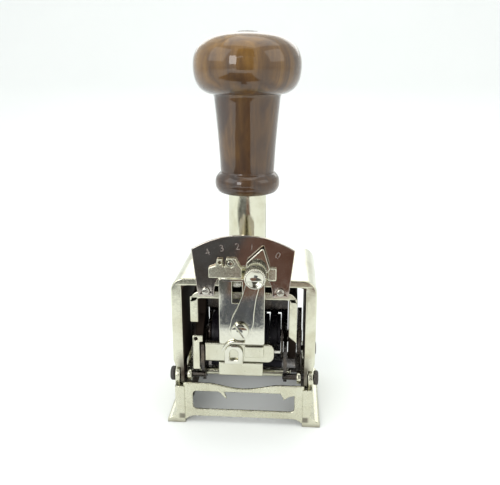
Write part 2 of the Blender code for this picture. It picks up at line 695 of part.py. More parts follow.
def coil(radius, wire, low, high, turns, sides_round, steps):
    """A builder for a round wire wound in a helix about the machine's upright axis."""
    def build(bm):
        pitch = (high - low - 2 * wire) / turns
        rings = []
        for i in range(turns * steps + 1):
            angle = 2 * math.pi * i / steps
            middle = Vector((radius * math.cos(angle), radius * math.sin(angle),
                             low + wire + pitch * i / steps))
            out = Vector((math.cos(angle), math.sin(angle), 0))
            loop = []
            for k in range(sides_round):
                turn = 2 * math.pi * k / sides_round
                offset = wire * (math.cos(turn) * out + math.sin(turn) * Vector((0, 0, 1)))
                loop.append(bm.verts.new(middle + offset))
            rings.append(loop)
        for here, there in zip(rings, rings[1:]):
            for k in range(sides_round):
                n = (k + 1) % sides_round
                bm.faces.new((here[k], here[n], there[n], there[k]))
        bm.faces.new(rings[0])
        bm.faces.new(reversed(rings[-1]))
    return build


def return_spring(body):
    """The coil spring inside the tube, standing on the cross pin."""
    low = CROSS_PIN_HEIGHT + CROSS_PIN_RADIUS + GAP
    high = TUBE_TOP - TUBE_PLUG - GAP
    wind = TUBE_BORE - SPRING_WIRE - 2 * GAP
    spring = coil(wind, SPRING_WIRE, low, high, SPRING_TURNS, 5, 10)
    solid("return_spring", spring, body, "steel", smooth=True)


def inner_frame(plunger):
    """The carriage frame: a roof with a rear leg and a thin front tab on each side."""
    bend = CARRIAGE_ROOF - GAP
    roof = [(-CARRIAGE_HALF, CARRIAGE_UNDER), (CARRIAGE_HALF, CARRIAGE_UNDER)]
    roof += arc((CARRIAGE_HALF - bend, CARRIAGE_TOP - bend), bend, 0, math.pi / 2, 5)
    roof += arc((-CARRIAGE_HALF + bend, CARRIAGE_TOP - bend), bend, math.pi / 2, math.pi, 5)
    frame = solid("inner_frame", prism(roof, "Y", FRAME_FRONT, CARRIAGE_BACK), plunger, "nickel")
    leg = [(AXLE_Y + CARRIAGE_LEG_DEPTH, CARRIAGE_UNDER + GAP),
           (AXLE_Y - CARRIAGE_LEG_LEAD, CARRIAGE_UNDER + GAP)]
    leg += arc((AXLE_Y, AXLE_HEIGHT), CARRIAGE_LEG_ROUND, math.radians(96), math.radians(388), 20)
    for (sign, _), drop in zip(sides(), CARRIAGE_TAB_REACH):
        end = CARRIAGE_UNDER - drop
        near, far = sorted((sign * CARRIAGE_INNER, sign * CARRIAGE_HALF))
        join(frame, prism(leg, "X", near, far))
        slant = 0.0 if sign < 0 else CARRIAGE_LEG
        tab = [(sign * CARRIAGE_INNER, end + slant), (sign * CARRIAGE_HALF, end),
               (sign * CARRIAGE_HALF, CARRIAGE_UNDER + GAP), (sign * CARRIAGE_INNER, CARRIAGE_UNDER + GAP)]
        join(frame, prism(tab, "Y", FRAME_FRONT, FRAME_FRONT + CARRIAGE_TAB))
        hole = disc(SHAFT_RADIUS + GAP, near - GAP, far + GAP)
        cut(frame, lathe(hole, "X", (AXLE_Y, AXLE_HEIGHT), 20))
    cut(frame, lathe(disc(TUBE_RADIUS + GAP, CARRIAGE_UNDER - GAP, CARRIAGE_TOP + GAP), "Z", (0, 0), 32))


def wheel_shaft(plunger):
    """The shaft that carries the wheels and both linkages, with a cheek disc at each end."""
    reach = INK_ARM_OUTER + GAP
    profile = disc(SHAFT_RADIUS, -reach, reach)
    solid("wheel_shaft", lathe(profile, "X", (AXLE_Y, AXLE_HEIGHT), 20), plunger, "steel", smooth=True)
    for sign, side in sides():
        near, far = sorted((sign * (STACK_HALF + GAP), sign * (SWING_INNER - GAP)))
        profile = ring(WHEEL_RADIUS - CHEEK_STEP, SHAFT_RADIUS + GAP, near, far)
        solid(f"shaft_spacer_{side}", lathe(profile, "X", (AXLE_Y, AXLE_HEIGHT), 20), plunger, "steel",
              smooth=True)


def number_wheels(carriers):
    """Six number wheels, each with its ratchet on one flank."""
    for i, carrier in enumerate(carriers):
        low = WHEEL_PITCH * i - STACK_HALF + WHEEL_GAP / 2
        rim = low + WHEEL_WIDTH * 0.74
        high = low + WHEEL_WIDTH
        hub = WHEEL_RADIUS * 0.74
        bore = SHAFT_RADIUS + GAP
        profile = [(bore, low), (WHEEL_RADIUS, low), (WHEEL_RADIUS, rim), (hub, rim), (hub, high), (bore, high)]
        solid(f"number_wheel_{i + 1}", lathe(profile, "X", (AXLE_Y, AXLE_HEIGHT), 40), carrier,
              "inked_brass", smooth=True)


def comb_outline(half, back, root, tip):
    """A comb with one finger a wheel, from its straight back to its finger tips."""
    points = [(-half, back), (-half, root)]
    for i in range(WHEEL_COUNT):
        left = WHEEL_PITCH * i - STACK_HALF + COMB_LEAD
        right = WHEEL_PITCH * (i + 1) - STACK_HALF - COMB_TRAIL
        points += [(left, root), (left, tip), (right, tip), (right, root)]
    return points + [(half, root), (half, back)]


def detent(plunger):
    """The rod behind the wheels and the wide spring comb that holds each wheel on its digit."""
    wheel_top = AXLE_HEIGHT + WHEEL_RADIUS
    rod_y = AXLE_Y + DETENT_ROD_BACK
    profile = disc(DETENT_ROD_RADIUS, -CARRIAGE_INNER + GAP, CARRIAGE_INNER - GAP)
    middle = (rod_y, (CARRIAGE_UNDER + wheel_top) / 2)
    solid("detent_rod", lathe(profile, "X", middle, 14), plunger, "steel", smooth=True)
    tip = wheel_top + DETENT_LAND
    comb = comb_outline(CARRIAGE_INNER - GAP, CARRIAGE_UNDER - GAP, tip + DETENT_FINGER, tip)
    back = rod_y - DETENT_ROD_RADIUS - GAP
    solid("detent_comb", prism(comb, "Y", back - DETENT_THICK, back), plunger, "dark_steel")


def back_plate(plunger):
    """The dark plate behind the wheels, between the carriage legs, that keeps dust off the wheels."""
    back = AXLE_Y + CARRIAGE_LEG_DEPTH - GAP
    front = back - BACK_PLATE_THICK
    rise = math.sqrt(max(WHEEL_RADIUS ** 2 - (front - AXLE_Y) ** 2, 0.0))
    low = AXLE_HEIGHT + rise + SLIDE_GAP
    side = SWING_INNER
    edge = CARRIAGE_INNER - GAP
    foot = AXLE_HEIGHT - BACK_PLATE_REACH
    top = CARRIAGE_UNDER - GAP
    outline = [(-edge, top), (-edge, foot), (-side, foot), (-side, low),
               (side, low), (side, foot), (edge, foot), (edge, top)]
    solid("back_plate", prism(outline, "Y", front, back), plunger, "dark_steel")


def dial_plate(plunger):
    """The arched dial with an opening for the front mechanism and a foot on each side."""
    apex = CARRIAGE_UNDER + DIAL_APEX_RISE
    rise = DIAL_APEX_RISE - DIAL_SHOULDER_RISE
    half = DIAL_SHOULDER_HALF
    radius = (half ** 2 + rise ** 2) / (2 * rise)
    swing = math.asin(half / radius)
    outline = [(DIAL_NOTCH_HALF, DIAL_FOOT), (DIAL_FOOT_HALF, DIAL_FOOT)]
    outline += arc((0, apex - radius), radius, math.pi / 2 - swing, math.pi / 2 + swing, 16)
    outline += [(-DIAL_FOOT_HALF, DIAL_FOOT), (-DIAL_NOTCH_HALF, DIAL_FOOT)]
    lift = DIAL_NOTCH_RISE - DIAL_FOOT_RISE - DIAL_NOTCH_HALF
    outline += arc((0, DIAL_FOOT + lift), DIAL_NOTCH_HALF, math.pi, 0, 12)
    dial = solid("dial_plate", prism(outline, "Y", DIAL_FRONT, DIAL_BACK), plunger, "dark_nickel")
    soften(dial, 0.2 * MM)
    for sign, side in sides():
        x = sign * (DIAL_FOOT_HALF + DIAL_NOTCH_HALF) / 2
        profile = disc(DIAL_SCREW_RADIUS, DIAL_FRONT - GAP - DIAL_SCREW_THICK, DIAL_FRONT - GAP)
        solid(f"dial_screw_{side}", lathe(profile, "Y", (x, DIAL_FOOT + DIAL_SCREW_RISE), 16), plunger,
              "steel", smooth=True)


def pivot_place():
    """The pointer's pivot on the front plate."""
    return (POINTER_X, POINTER_Z)


def front_plate(plunger):
    """The upright plate of the front mechanism, with a slot for a spring and a pivot screw."""
    outline = rounded_outline(PLATE_LEFT, PLATE_RIGHT, CARRIAGE_UNDER - PLATE_DROP, PLATE_HIGH, PLATE_CORNER)
    plate = solid("front_plate", prism(outline, "Y", PLATE_FRONT, PLATE_BACK), plunger, "nickel")
    slot = box_outline(SLOT_LEFT, SLOT_RIGHT, CARRIAGE_UNDER - SLOT_DROP, SLOT_HIGH)
    cut(plate, prism(slot, "Y", PLATE_FRONT - GAP, PLATE_BACK + GAP))
    hole = disc(PIVOT_RADIUS + GAP, PLATE_FRONT - GAP, PLATE_BACK + GAP)
    cut(plate, lathe(hole, "Y", pivot_place(), 16))
    head_back = POINTER_FRONT - GAP
    head = head_back - PIVOT_HEAD_THICK
    profile = [(0, head), (PIVOT_HEAD_RADIUS - PIVOT_HEAD_EASE, head), (PIVOT_HEAD_RADIUS, head + PIVOT_HEAD_EASE),
               (PIVOT_HEAD_RADIUS, head_back), (PIVOT_RADIUS, head_back), (PIVOT_RADIUS, PLATE_BACK + GAP),
               (0, PLATE_BACK + GAP)]
    screw = solid("pivot_screw", lathe(profile, "Y", pivot_place(), 24), plunger, "nickel", smooth=True)
    along = Vector((math.cos(PIVOT_SLOT_ANGLE), math.sin(PIVOT_SLOT_ANGLE))) * (PIVOT_HEAD_RADIUS + GAP)
    across = Vector((-along.y, along.x)).normalized() * PIVOT_SLOT_HALF
    middle = Vector(pivot_place())
    slot = [middle - along - across, middle + along - across, middle + along + across, middle - along + across]
    cut(screw, prism(slot, "Y", head - GAP, head + PIVOT_SLOT_DEPTH))


def bridge(plunger):
    """The bent cross part above the front plate, with its hooked prong, its stud and its stop."""
    low = PLATE_HIGH + GAP
    top = low + BRIDGE_HEIGHT
    outline = [(BRIDGE_LEFT, low), (BRIDGE_RIGHT, low), (BRIDGE_RIGHT, low + BRIDGE_RIGHT_STEP),
               (BRIDGE_RIGHT - BRIDGE_RIGHT_SLOPE, top), (BRIDGE_LEFT + BRIDGE_LEFT_SLOPE, top),
               (BRIDGE_LEFT, low + BRIDGE_LEFT_STEP)]
    part = solid("bridge", prism(outline, "Y", PLATE_FRONT, PLATE_BACK), plunger, "nickel")
    stud = (STUD_X, low + BRIDGE_HOLE_RISE)
    for place, radius in (((BRIDGE_HOLE_X, low + BRIDGE_HOLE_RISE), BRIDGE_HOLE_RADIUS), (stud, STUD_RADIUS + GAP)):
        cut(part, lathe(disc(radius, PLATE_FRONT - GAP, PLATE_BACK + GAP), "Y", place, 16))
    profile = disc(STUD_RADIUS, PLATE_FRONT, PLATE_BACK)
    solid("bridge_stud", lathe(profile, "Y", stud, 16), plunger, "nickel", smooth=True)
    stop_low = PLATE_HIGH - STOP_DROP
    block = box_outline(STOP_LEFT, STOP_LEFT + STOP_WIDTH, stop_low, stop_low + STOP_HEIGHT)
    solid("pointer_stop", prism(block, "Y", PLATE_FRONT, PLATE_BACK), plunger, "nickel")


def slot_spring(plunger):
    """The small cross spring seen through the slot of the front plate."""
    radius, wire, turns, steps = SLOT_COIL_RADIUS, SLOT_COIL_WIRE, SLOT_COIL_TURNS, 8
    start = SLOT_LEFT + GAP + wire
    length = SLOT_RIGHT - GAP - wire - start
    middle_y = POINTER_BACK + GAP + radius + wire
    middle_z = SLOT_HIGH - GAP - radius - wire

    def build(bm):
        rings = []
        for i in range(turns * steps + 1):
            angle = 2 * math.pi * i / steps
            out = Vector((0, math.cos(angle), math.sin(angle)))
            middle = Vector((start + length * i / (turns * steps), middle_y, middle_z))
            middle += out * radius
            rings.append([bm.verts.new(middle + wire * (math.cos(t) * out + math.sin(t) * Vector((1, 0, 0))))
                          for t in (2 * math.pi * k / 5 for k in range(5))])
        for here, there in zip(rings, rings[1:]):
            for k in range(5):
                n = (k + 1) % 5
                bm.faces.new((here[k], here[n], there[n], there[k]))
        bm.faces.new(rings[0])
        bm.faces.new(reversed(rings[-1]))
    solid("slot_spring", build, plunger, "steel", smooth=True)


def leaf_spring(plunger):
    """The curved leaf that presses on the pointer's boss from below."""
    centre = (POINTER_X - LEAF_LEFT, POINTER_Z - LEAF_DROP)
    outer = arc(centre, LEAF_RADIUS, LEAF_FROM, LEAF_TO, 8)
    inner = arc(centre, LEAF_RADIUS - LEAF_THICK, LEAF_TO, LEAF_FROM, 8)
    solid("leaf_spring", prism(outer + inner, "Y", POINTER_FRONT, POINTER_BACK), plunger, "steel")


def pointer_lever(body):
    """The selector pointer: a waisted lever with a round boss and an arrow head."""
    up = Vector((math.sin(POINTER_TILT), math.cos(POINTER_TILT)))
    side = Vector((up.y, -up.x))
    middle = Vector(pivot_place())
    tip = middle + up * POINTER_TIP
    outline = [middle + (up * reach + side * half) * MM for reach, half in POINTER_FLANK]
    outline += [tip + side * POINTER_POINT, tip - side * POINTER_POINT]
    outline += [middle + (up * reach - side * half) * MM for reach, half in reversed(POINTER_FLANK[1:])]
    heel = math.pi / 2 - POINTER_TILT
    outline += arc(middle, POINTER_BOSS, heel + math.radians(70), heel + math.radians(290), 14)
    lever = solid("pointer_lever", prism(outline, "Y", POINTER_FRONT, POINTER_BACK), body, "nickel")
    hole = disc(PIVOT_RADIUS + GAP, POINTER_FRONT - GAP, POINTER_BACK + GAP)
    cut(lever, lathe(hole, "Y", pivot_place(), 16))


def knob_place():
    """Where the selector knob sits, up the pointer from its pivot."""
    return (POINTER_X + KNOB_REACH * math.sin(POINTER_TILT), POINTER_Z + KNOB_REACH * math.cos(POINTER_TILT))


def selector_knob(body):
    """The knurled pull knob with a dished face."""
    x, z = knob_place()
    outline = [(x + u, z + v) for u, v in knurled(KNOB_RADIUS, 22, 0.3 * MM)]
    knob = solid("selector_knob", prism(outline, "Y", KNOB_FRONT, KNOB_BACK), body, "nickel")
    dish = [(0, KNOB_FRONT - GAP), (KNOB_RADIUS - KNOB_RIM, KNOB_FRONT - GAP),
            (KNOB_RADIUS - KNOB_RIM - KNOB_DISH, KNOB_FRONT + KNOB_DISH), (0, KNOB_FRONT + KNOB_HOLLOW)]
    cut(knob, lathe(dish, "Y", (x, z), 20))


def fork(reach, side_sign):
    """The slot of a linkage arm for its fixed pin: its direction, its middle line and its half-width.

    The arm turns evenly while the axle drops, so the pin strays across the slot by the difference
    between the true angle and the even one.  The slot is wide enough for both extremes."""
    steps = 40
    angles = [math.atan2(STROKE * i / steps - PIN_DROP, reach) for i in range(steps + 1)]
    stray = []
    for i, angle in enumerate(angles):
        even = angles[0] + (angles[-1] - angles[0]) * i / steps
        distance = math.hypot(STROKE * i / steps - PIN_DROP, reach)
        stray.append(distance * math.sin(angle - even))
    along = Vector((side_sign * math.cos(angles[0]), math.sin(angles[0])))
    across = Vector((-side_sign * along.y, side_sign * along.x))
    middle = Vector((AXLE_Y, AXLE_HEIGHT)) + across * (max(stray) + min(stray)) / 2
    return along, across, middle, PIN_RADIUS + SLIDE_GAP + (max(stray) - min(stray)) / 2


def slot_outline(along, across, middle, half, start, end):
    """The straight slot of a fork between two distances from the axle."""
    return [middle + along * start - across * half, middle + along * end - across * half,
            middle + along * end + across * half, middle + along * start + across * half]


def swing_arms(body):
    """Two plates that hang on the wheel shaft and reach to the fixed front pins with a fork each."""
    along, across, middle, half_slot = fork(FRONT_PIN_REACH, -1)
    axle = Vector((AXLE_Y, AXLE_HEIGHT))
    tine = half_slot + SWING_TINE
    tip = math.sqrt(SWING_REACH ** 2 - tine ** 2)
    outline = [middle + along * tip - across * tine, middle + along * tip + across * tine]
    outline += [Vector(front_polar(SWING_REACH - SWING_NOSE, math.radians(4))),
                Vector(front_polar(SWING_REACH - SWING_NOSE, math.radians(12))),
                Vector(front_polar((SHAFT_RADIUS + SWING_REACH) * 0.4, math.radians(40)))]
    outline += arc(axle, SWING_HUB, math.radians(110), math.radians(-100), 10)
    slot = slot_outline(along, across, middle, half_slot, FRONT_PIN_REACH - PIN_RADIUS - ROLLER_GAP,
                        SWING_REACH + SWING_TINE)
    rod = front_polar(TIE_ROD_REACH, TIE_ROD_ANGLE)
    for sign, side in sides():
        near, far = sorted((sign * SWING_INNER, sign * SWING_OUTER))
        arm = solid(f"swing_arm_{side}", prism(outline, "X", near, far), body, "dark_steel")
        lug = arc(rod, TIE_ROD_RADIUS + TIE_ROD_WALL, 0, 2 * math.pi * 15 / 16, 15)
        join(arm, prism(lug, "X", near, far))
        cut(arm, prism(slot, "X", near - GAP, far + GAP))
        cut(arm, lathe(disc(SHAFT_RADIUS + GAP, near - GAP, far + GAP), "X", axle, 20))
        cut(arm, lathe(disc(TIE_ROD_RADIUS + GAP, near - GAP, far + GAP), "X", rod, 16))
    half = SWING_OUTER + TIE_ROD_OVER
    neck = TIE_ROD_RADIUS - TIE_ROD_EASE
    profile = [(0, -half), (neck, -half), (TIE_ROD_RADIUS, -half + TIE_ROD_EASE),
               (TIE_ROD_RADIUS, half - TIE_ROD_EASE), (neck, half), (0, half)]
    solid("tie_rod", lathe(profile, "X", rod, 18), body, "nickel", smooth=True)


def swing_front(body):
    """The bar, the pawl block with its arched lug, the side bracket and the feed pawl."""
    face = SWING_FACE
    bar = box_outline(-(SWING_INNER - GAP), SWING_INNER - BAR_SHORT, BAR_LOW, BAR_HIGH)
    solid("swing_bar", prism(bar, "Y", face, face + BAR_THICK), body, "nickel", bevel=0.6 * MM)
    block = box_outline(BLOCK_LEFT, BLOCK_RIGHT, AXLE_HEIGHT - BLOCK_DROP, BAR_LOW - GAP)
    solid("pawl_block", prism(block, "Y", face, face + BLOCK_THICK), body, "nickel", bevel=0.3 * MM)
    lug_z = AXLE_HEIGHT + LUG_RISE
    lug = [(LUG_X - LUG_RADIUS, BAR_LOW - GAP), (LUG_X + LUG_RADIUS, BAR_LOW - GAP)]
    lug += arc((LUG_X, lug_z), LUG_RADIUS, 0, math.pi, 10)
    plate = solid("pawl_lug", prism(lug, "Y", face - GAP - LUG_THICK, face - GAP), body, "nickel")
    hole = [(LUG_X - LUG_BORE, lug_z - LUG_BORE_DROP), (LUG_X + LUG_BORE, lug_z - LUG_BORE_DROP)]
    hole += arc((LUG_X, lug_z), LUG_BORE, 0, math.pi, 8)
    cut(plate, prism(hole, "Y", face - LUG_THICK - 2 * GAP, face))
    cover = box_outline(COVER_LEFT, COVER_RIGHT, AXLE_HEIGHT - COVER_DROP, AXLE_HEIGHT + COVER_RISE)
    solid("pawl_cover", prism(cover, "Y", face - GAP - LUG_THICK, face - GAP), body, "nickel")
    outer = -(CARRIAGE_HALF - BRACKET_SIDE)
    inner = -(SWING_OUTER + BRACKET_SIDE)
    hook = -(SWING_OUTER - BRACKET_HOOK)
    low = AXLE_HEIGHT - BRACKET_DROP
    top = AXLE_HEIGHT + BRACKET_RISE
    strip = [(outer, low), (inner, low), (inner, top - BRACKET_HOOK_HEIGHT), (hook, top - BRACKET_HOOK_HEIGHT),
             (hook, top), (outer, top)]
    bracket = solid("side_bracket", prism(strip, "Y", face, face + BRACKET_THICK), body, "nickel")
    hole = disc(BRACKET_HOLE, face - GAP, face + BRACKET_THICK + GAP)
    cut(bracket, lathe(hole, "Y", (outer + BRACKET_HOLE_EDGE, top - BRACKET_HOLE_EDGE), 12))
    root = face + BAR_THICK + PAWL_ROOT
    comb = comb_outline(STACK_HALF, root - PAWL_BACK, root, AXLE_Y - WHEEL_RADIUS - PAWL_LAND)
    pawl = prism(comb, "Z", AXLE_HEIGHT - PAWL_THICK / 2, AXLE_HEIGHT + PAWL_THICK / 2)
    solid("feed_pawl", pawl, body, "steel")


def ink_carrier(body):
    """Two forked arms joined by a curved tray that holds the felt pad against the wheels."""
    along, across, middle, half_slot = fork(REAR_PIN_REACH, 1)
    axle = Vector((AXLE_Y, AXLE_HEIGHT))
    tine = half_slot + INK_TINE
    reach = math.hypot(PIN_DROP, REAR_PIN_REACH) + INK_ARM_MARGIN
    tray_inner = INK_PAD_INNER + INK_PAD_THICK + GAP
    tray_outer = tray_inner + INK_TRAY_THICK
    bottom = -math.pi / 2
    outline = arc(axle, tray_outer, bottom - INK_SPAN, bottom + INK_SPAN * 0.6, 8)
    outline += [middle + along * reach - across * tine, middle + along * reach + across * tine]
    outline += [middle + along * SWING_HUB + across * tine, polar(SWING_HUB, math.radians(10))]
    outline += arc(Vector(front_polar(INK_ARM_TOP, math.radians(86))), INK_ARM_TOP_RADIUS, 0, math.pi, 8)
    outline += [front_polar(SWING_HUB, math.radians(20)),
                front_polar(SWING_HUB + INK_ARM_MARGIN, math.radians(-20))]
    slot = slot_outline(along, across, middle, half_slot, REAR_PIN_REACH - PIN_RADIUS - ROLLER_GAP,
                        reach + SWING_TINE)
    for sign, side in sides():
        near, far = sorted((sign * INK_ARM_INNER, sign * INK_ARM_OUTER))
        arm = solid(f"ink_arm_{side}", prism(outline, "X", near, far), body, "dark_steel")
        cut(arm, prism(slot, "X", near - GAP, far + GAP))
        cut(arm, lathe(disc(SHAFT_RADIUS + GAP, near - GAP, far + GAP), "X", axle, 20))
    shell = arc(axle, tray_outer, bottom - INK_SPAN, bottom + INK_SPAN, 10)
    shell += arc(axle, tray_inner, bottom + INK_SPAN, bottom - INK_SPAN, 10)
    edge = INK_ARM_INNER - GAP
    solid("ink_tray", prism(shell, "X", -edge, edge), body, "dark_steel")
    span = INK_SPAN - INK_PAD_SLACK
    pad = arc(axle, tray_inner - GAP, bottom - span, bottom + span, 10)
    pad += arc(axle, INK_PAD_INNER, bottom + span, bottom - span, 10)
    half = STACK_HALF + INK_PAD_SIDE
    solid("ink_pad", prism(pad, "X", -half, half), body, "felt")


def build_machine():
    """The whole machine, centred front to back on its own outline."""
    clear_scene()
    front = KNOB_FRONT
    machine = make_empty("machine", (0, 0, 0))
    machine.location = (0, -(front + FRAME_BACK) / 2, 0)
    fixed = make_empty("fixed_body", (0, 0, 0), machine)
    plunger = make_empty("plunger_body", (0, 0, FRAME_TOP), machine)
    spring_foot = CROSS_PIN_HEIGHT + CROSS_PIN_RADIUS + GAP
    spring = make_empty("spring_body", (0, 0, spring_foot), machine)
    axle = (0, AXLE_Y, AXLE_HEIGHT)
    swing = make_empty("swing_body", axle, plunger)
    ink = make_empty("ink_body", axle, plunger)
    wheels = [make_empty(f"wheel_body_{i + 1}", axle, plunger) for i in range(WHEEL_COUNT)]
    pointer = make_empty("pointer_body", (POINTER_X, POINTER_BACK, POINTER_Z), plunger)
    knob_x, knob_z = knob_place()
    knob = make_empty("knob_body", (knob_x, KNOB_BACK, knob_z), pointer)
    outer_frame(fixed)
    base_frame(fixed)
    guide_bush(fixed)
    fixed_pins(fixed)
    handle(plunger)
    plunger_tube(plunger)
    return_spring(spring)
    inner_frame(plunger)
    wheel_shaft(plunger)
    number_wheels(wheels)
    detent(plunger)
    back_plate(plunger)
    dial_plate(plunger)
    front_plate(plunger)
    bridge(plunger)
    slot_spring(plunger)
    leaf_spring(plunger)
    pointer_lever(pointer)
    selector_knob(knob)
    swing_arms(swing)
    swing_front(swing)
    ink_carrier(ink)
    bpy.context.view_layer.update()


build_machine()
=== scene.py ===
"""Looks of a hand numbering machine: nickel frame and mechanism, inked wheels, varnished handle."""
import math

import bpy
import numpy as np
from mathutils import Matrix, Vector
from mathutils.geometry import tessellate_polygon


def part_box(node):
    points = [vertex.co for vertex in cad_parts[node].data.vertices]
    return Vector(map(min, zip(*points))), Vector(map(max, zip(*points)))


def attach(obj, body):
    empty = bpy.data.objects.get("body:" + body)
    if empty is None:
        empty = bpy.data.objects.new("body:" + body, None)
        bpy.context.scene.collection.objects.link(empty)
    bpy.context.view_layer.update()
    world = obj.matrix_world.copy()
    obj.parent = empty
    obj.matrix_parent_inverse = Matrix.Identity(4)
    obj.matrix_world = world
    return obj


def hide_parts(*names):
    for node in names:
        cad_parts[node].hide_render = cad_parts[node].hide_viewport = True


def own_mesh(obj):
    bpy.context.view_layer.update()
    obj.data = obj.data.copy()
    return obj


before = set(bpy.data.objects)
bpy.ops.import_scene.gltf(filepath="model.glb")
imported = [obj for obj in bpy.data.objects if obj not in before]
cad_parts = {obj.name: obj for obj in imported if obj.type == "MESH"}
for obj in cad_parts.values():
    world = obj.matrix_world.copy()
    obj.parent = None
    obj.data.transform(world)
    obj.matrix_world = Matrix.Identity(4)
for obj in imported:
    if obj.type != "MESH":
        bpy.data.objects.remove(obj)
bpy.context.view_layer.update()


# ----------------------------------------------------------------------
# Base casting.  A cast brass frame, filed flat and nickel plated: two side walls on wide feet,
# a low rear wall, and a front wall with a sight window under two pointed fingers.
# ----------------------------------------------------------------------


MM = 0.001


def where(node):
    """The lowest and highest corner of a solid of the frame, as two arrays."""
    low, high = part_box(node)
    return np.array(low), np.array(high)


def middle_of(node):
    """The middle of a solid's box: half the sum of its two corners."""
    return sum(where(node)) / 2


def eased(points, reach, steps=4, closed=True):
    """Corners cut back by `reach` along both edges and bridged by a parabola, a + b + c blended."""
    points = np.asarray(points, float)
    before, after = np.roll(points, 1, axis=0), np.roll(points, -1, axis=0)
    to_before, to_after = before - points, after - points
    length_before = np.linalg.norm(to_before, axis=1, keepdims=True)
    length_after = np.linalg.norm(to_after, axis=1, keepdims=True)
    cut = np.minimum(reach, np.minimum(length_before, length_after) * 0.48)
    start = points + to_before / length_before * cut
    end = points + to_after / length_after * cut
    t = np.linspace(0, 1, steps + 1)[None, :, None]
    curve = (1 - t) ** 2 * start[:, None] + 2 * t * (1 - t) * points[:, None] + t ** 2 * end[:, None]
    if closed:
        return curve.reshape(-1, 2)
    return np.vstack([points[:1], curve[1:-1].reshape(-1, 2), points[-1:]])


def arc(u, v, radius, start, end, steps):
    """Points on a circle about (u, v) from one angle to another, in degrees."""
    angle = np.radians(np.linspace(start, end, steps + 1))
    return np.stack([u + radius * np.cos(angle), v + radius * np.sin(angle)], axis=1)


def ring_outline(u, v, radius, steps=32):
    """A whole circle, with its first point not repeated."""
    return arc(u, v, radius, 0, 360, steps)[:-1]


def rectangle(u0, u1, v0, v1):
    """The corners of a rectangle, counter-clockwise."""
    return np.array([(u0, v0), (u1, v0), (u1, v1), (u0, v1)])


def signed_area(loop):
    """Half the sum of the cross products round a loop: positive when it runs counter-clockwise."""
    after = np.roll(loop, -1, axis=0)
    return 0.5 * np.sum(loop[:, 0] * after[:, 1] - loop[:, 1] * after[:, 0])


def moved_in(loop, distance):
    """The loop moved to its left: each point slides along the mitre of its two edges."""
    edge = np.roll(loop, -1, axis=0) - loop
    edge /= np.maximum(np.linalg.norm(edge, axis=1, keepdims=True), 1e-12)
    left = np.stack([-edge[:, 1], edge[:, 0]], axis=1)
    left_before = np.roll(left, 1, axis=0)
    spread = np.maximum(1 + np.sum(left * left_before, axis=1, keepdims=True), 0.35)
    return loop + distance * (left + left_before) / spread


def new_piece(name, verts, faces, body, replaced=(), material=None, smooth=True):
    """An object at the origin from arrays of points and faces, riding on a body of the frame."""
    mesh = bpy.data.meshes.new(name)
    mesh.from_pydata(np.asarray(verts).tolist(), [], [list(map(int, f)) for f in faces])
    mesh.validate()
    mesh.update()
    piece = bpy.data.objects.new(name, mesh)
    bpy.context.collection.objects.link(piece)
    if smooth:
        mesh.shade_smooth()
    if material is not None:
        mesh.materials.append(material)
    if replaced:
        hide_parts(*replaced)
    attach(piece, body)
    return piece


def evened(piece):
    """Normals weighted by face area, so that flats stay flat beside their rounded edges."""
    step = piece.modifiers.new("flats", "WEIGHTED_NORMAL")
    step.weight = 100
    step.keep_sharp = False
    return piece


AXES = {"X": [1, 2, 0], "Y": [0, 2, 1], "Z": [0, 1, 2]}


def plate_arrays(outline, axis, start, end, edge, holes=(), steps=3):
    """A flat plate: each loop is carried through its thickness on a profile with quarter-round edges.

    Ring k lies at depth edge*(1 - cos) and is moved in by edge*(1 - sin) of the same angle, and the
    two faces are the outline less its holes, cut into triangles."""
    loops = [np.asarray(outline, float)] + [np.asarray(hole, float) for hole in holes]
    loops = [loop if (signed_area(loop) > 0) == (i == 0) else loop[::-1] for i, loop in enumerate(loops)]
    start, end = min(start, end), max(start, end)
    edge = min(edge, (end - start) * 0.45)
    quarter = np.linspace(0, math.pi / 2, steps + 1)
    inset = edge * (1 - np.sin(quarter))
    depth = edge * (1 - np.cos(quarter))
    inset = np.concatenate([inset, inset[::-1]])
    along = np.concatenate([start + depth, end - depth[::-1]])
    flip = axis == "Y"
    verts, faces, tops, tails, count = [], [], [], [], 0
    for loop in loops:
        size = len(loop)
        rings = np.stack([np.column_stack([moved_in(loop, d), np.full(size, a)])
                          for d, a in zip(inset, along)])
        verts.append(rings.reshape(-1, 3))
        i = np.arange(size)
        j = (i + 1) % size
        for r in range(len(inset) - 1):
            near, far = count + r * size, count + (r + 1) * size
            quad = np.stack([near + i, near + j, far + j, far + i], axis=1)
            faces.extend((quad[:, ::-1] if flip else quad).tolist())
        tops.append(count + i)
        tails.append(count + (len(inset) - 1) * size + i)
        count += len(inset) * size
    cap = [[Vector((*p, 0)) for p in moved_in(loop, inset[0]).tolist()] for loop in loops]
    corners = np.concatenate([moved_in(loop, inset[0]) for loop in loops])
    triangles = np.array([t for t in tessellate_polygon(cap)])
    a, b, c = (corners[triangles[:, k]] for k in range(3))
    turn = (b[:, 0] - a[:, 0]) * (c[:, 1] - a[:, 1]) - (b[:, 1] - a[:, 1]) * (c[:, 0] - a[:, 0])
    triangles[turn < 0] = triangles[turn < 0][:, ::-1]
    top, tail = np.concatenate(tops), np.concatenate(tails)
    first, last = top[triangles][:, ::-1], tail[triangles]
    if flip:
        first, last = first[:, ::-1], last[:, ::-1]
    faces.extend(first.tolist())
    faces.extend(last.tolist())
    flat = np.concatenate(verts)
    placed = np.empty_like(flat)
    placed[:, AXES[axis]] = flat
    return placed, faces


def together(*shapes):
    """Several (points, faces) shapes as one, with the later faces counted on from the earlier points."""
    verts, faces, count = [], [], 0
    for points, polygons in shapes:
        verts.append(points)
        faces.extend([[k + count for k in polygon] for polygon in polygons])
        count += len(points)
    return np.concatenate(verts), faces


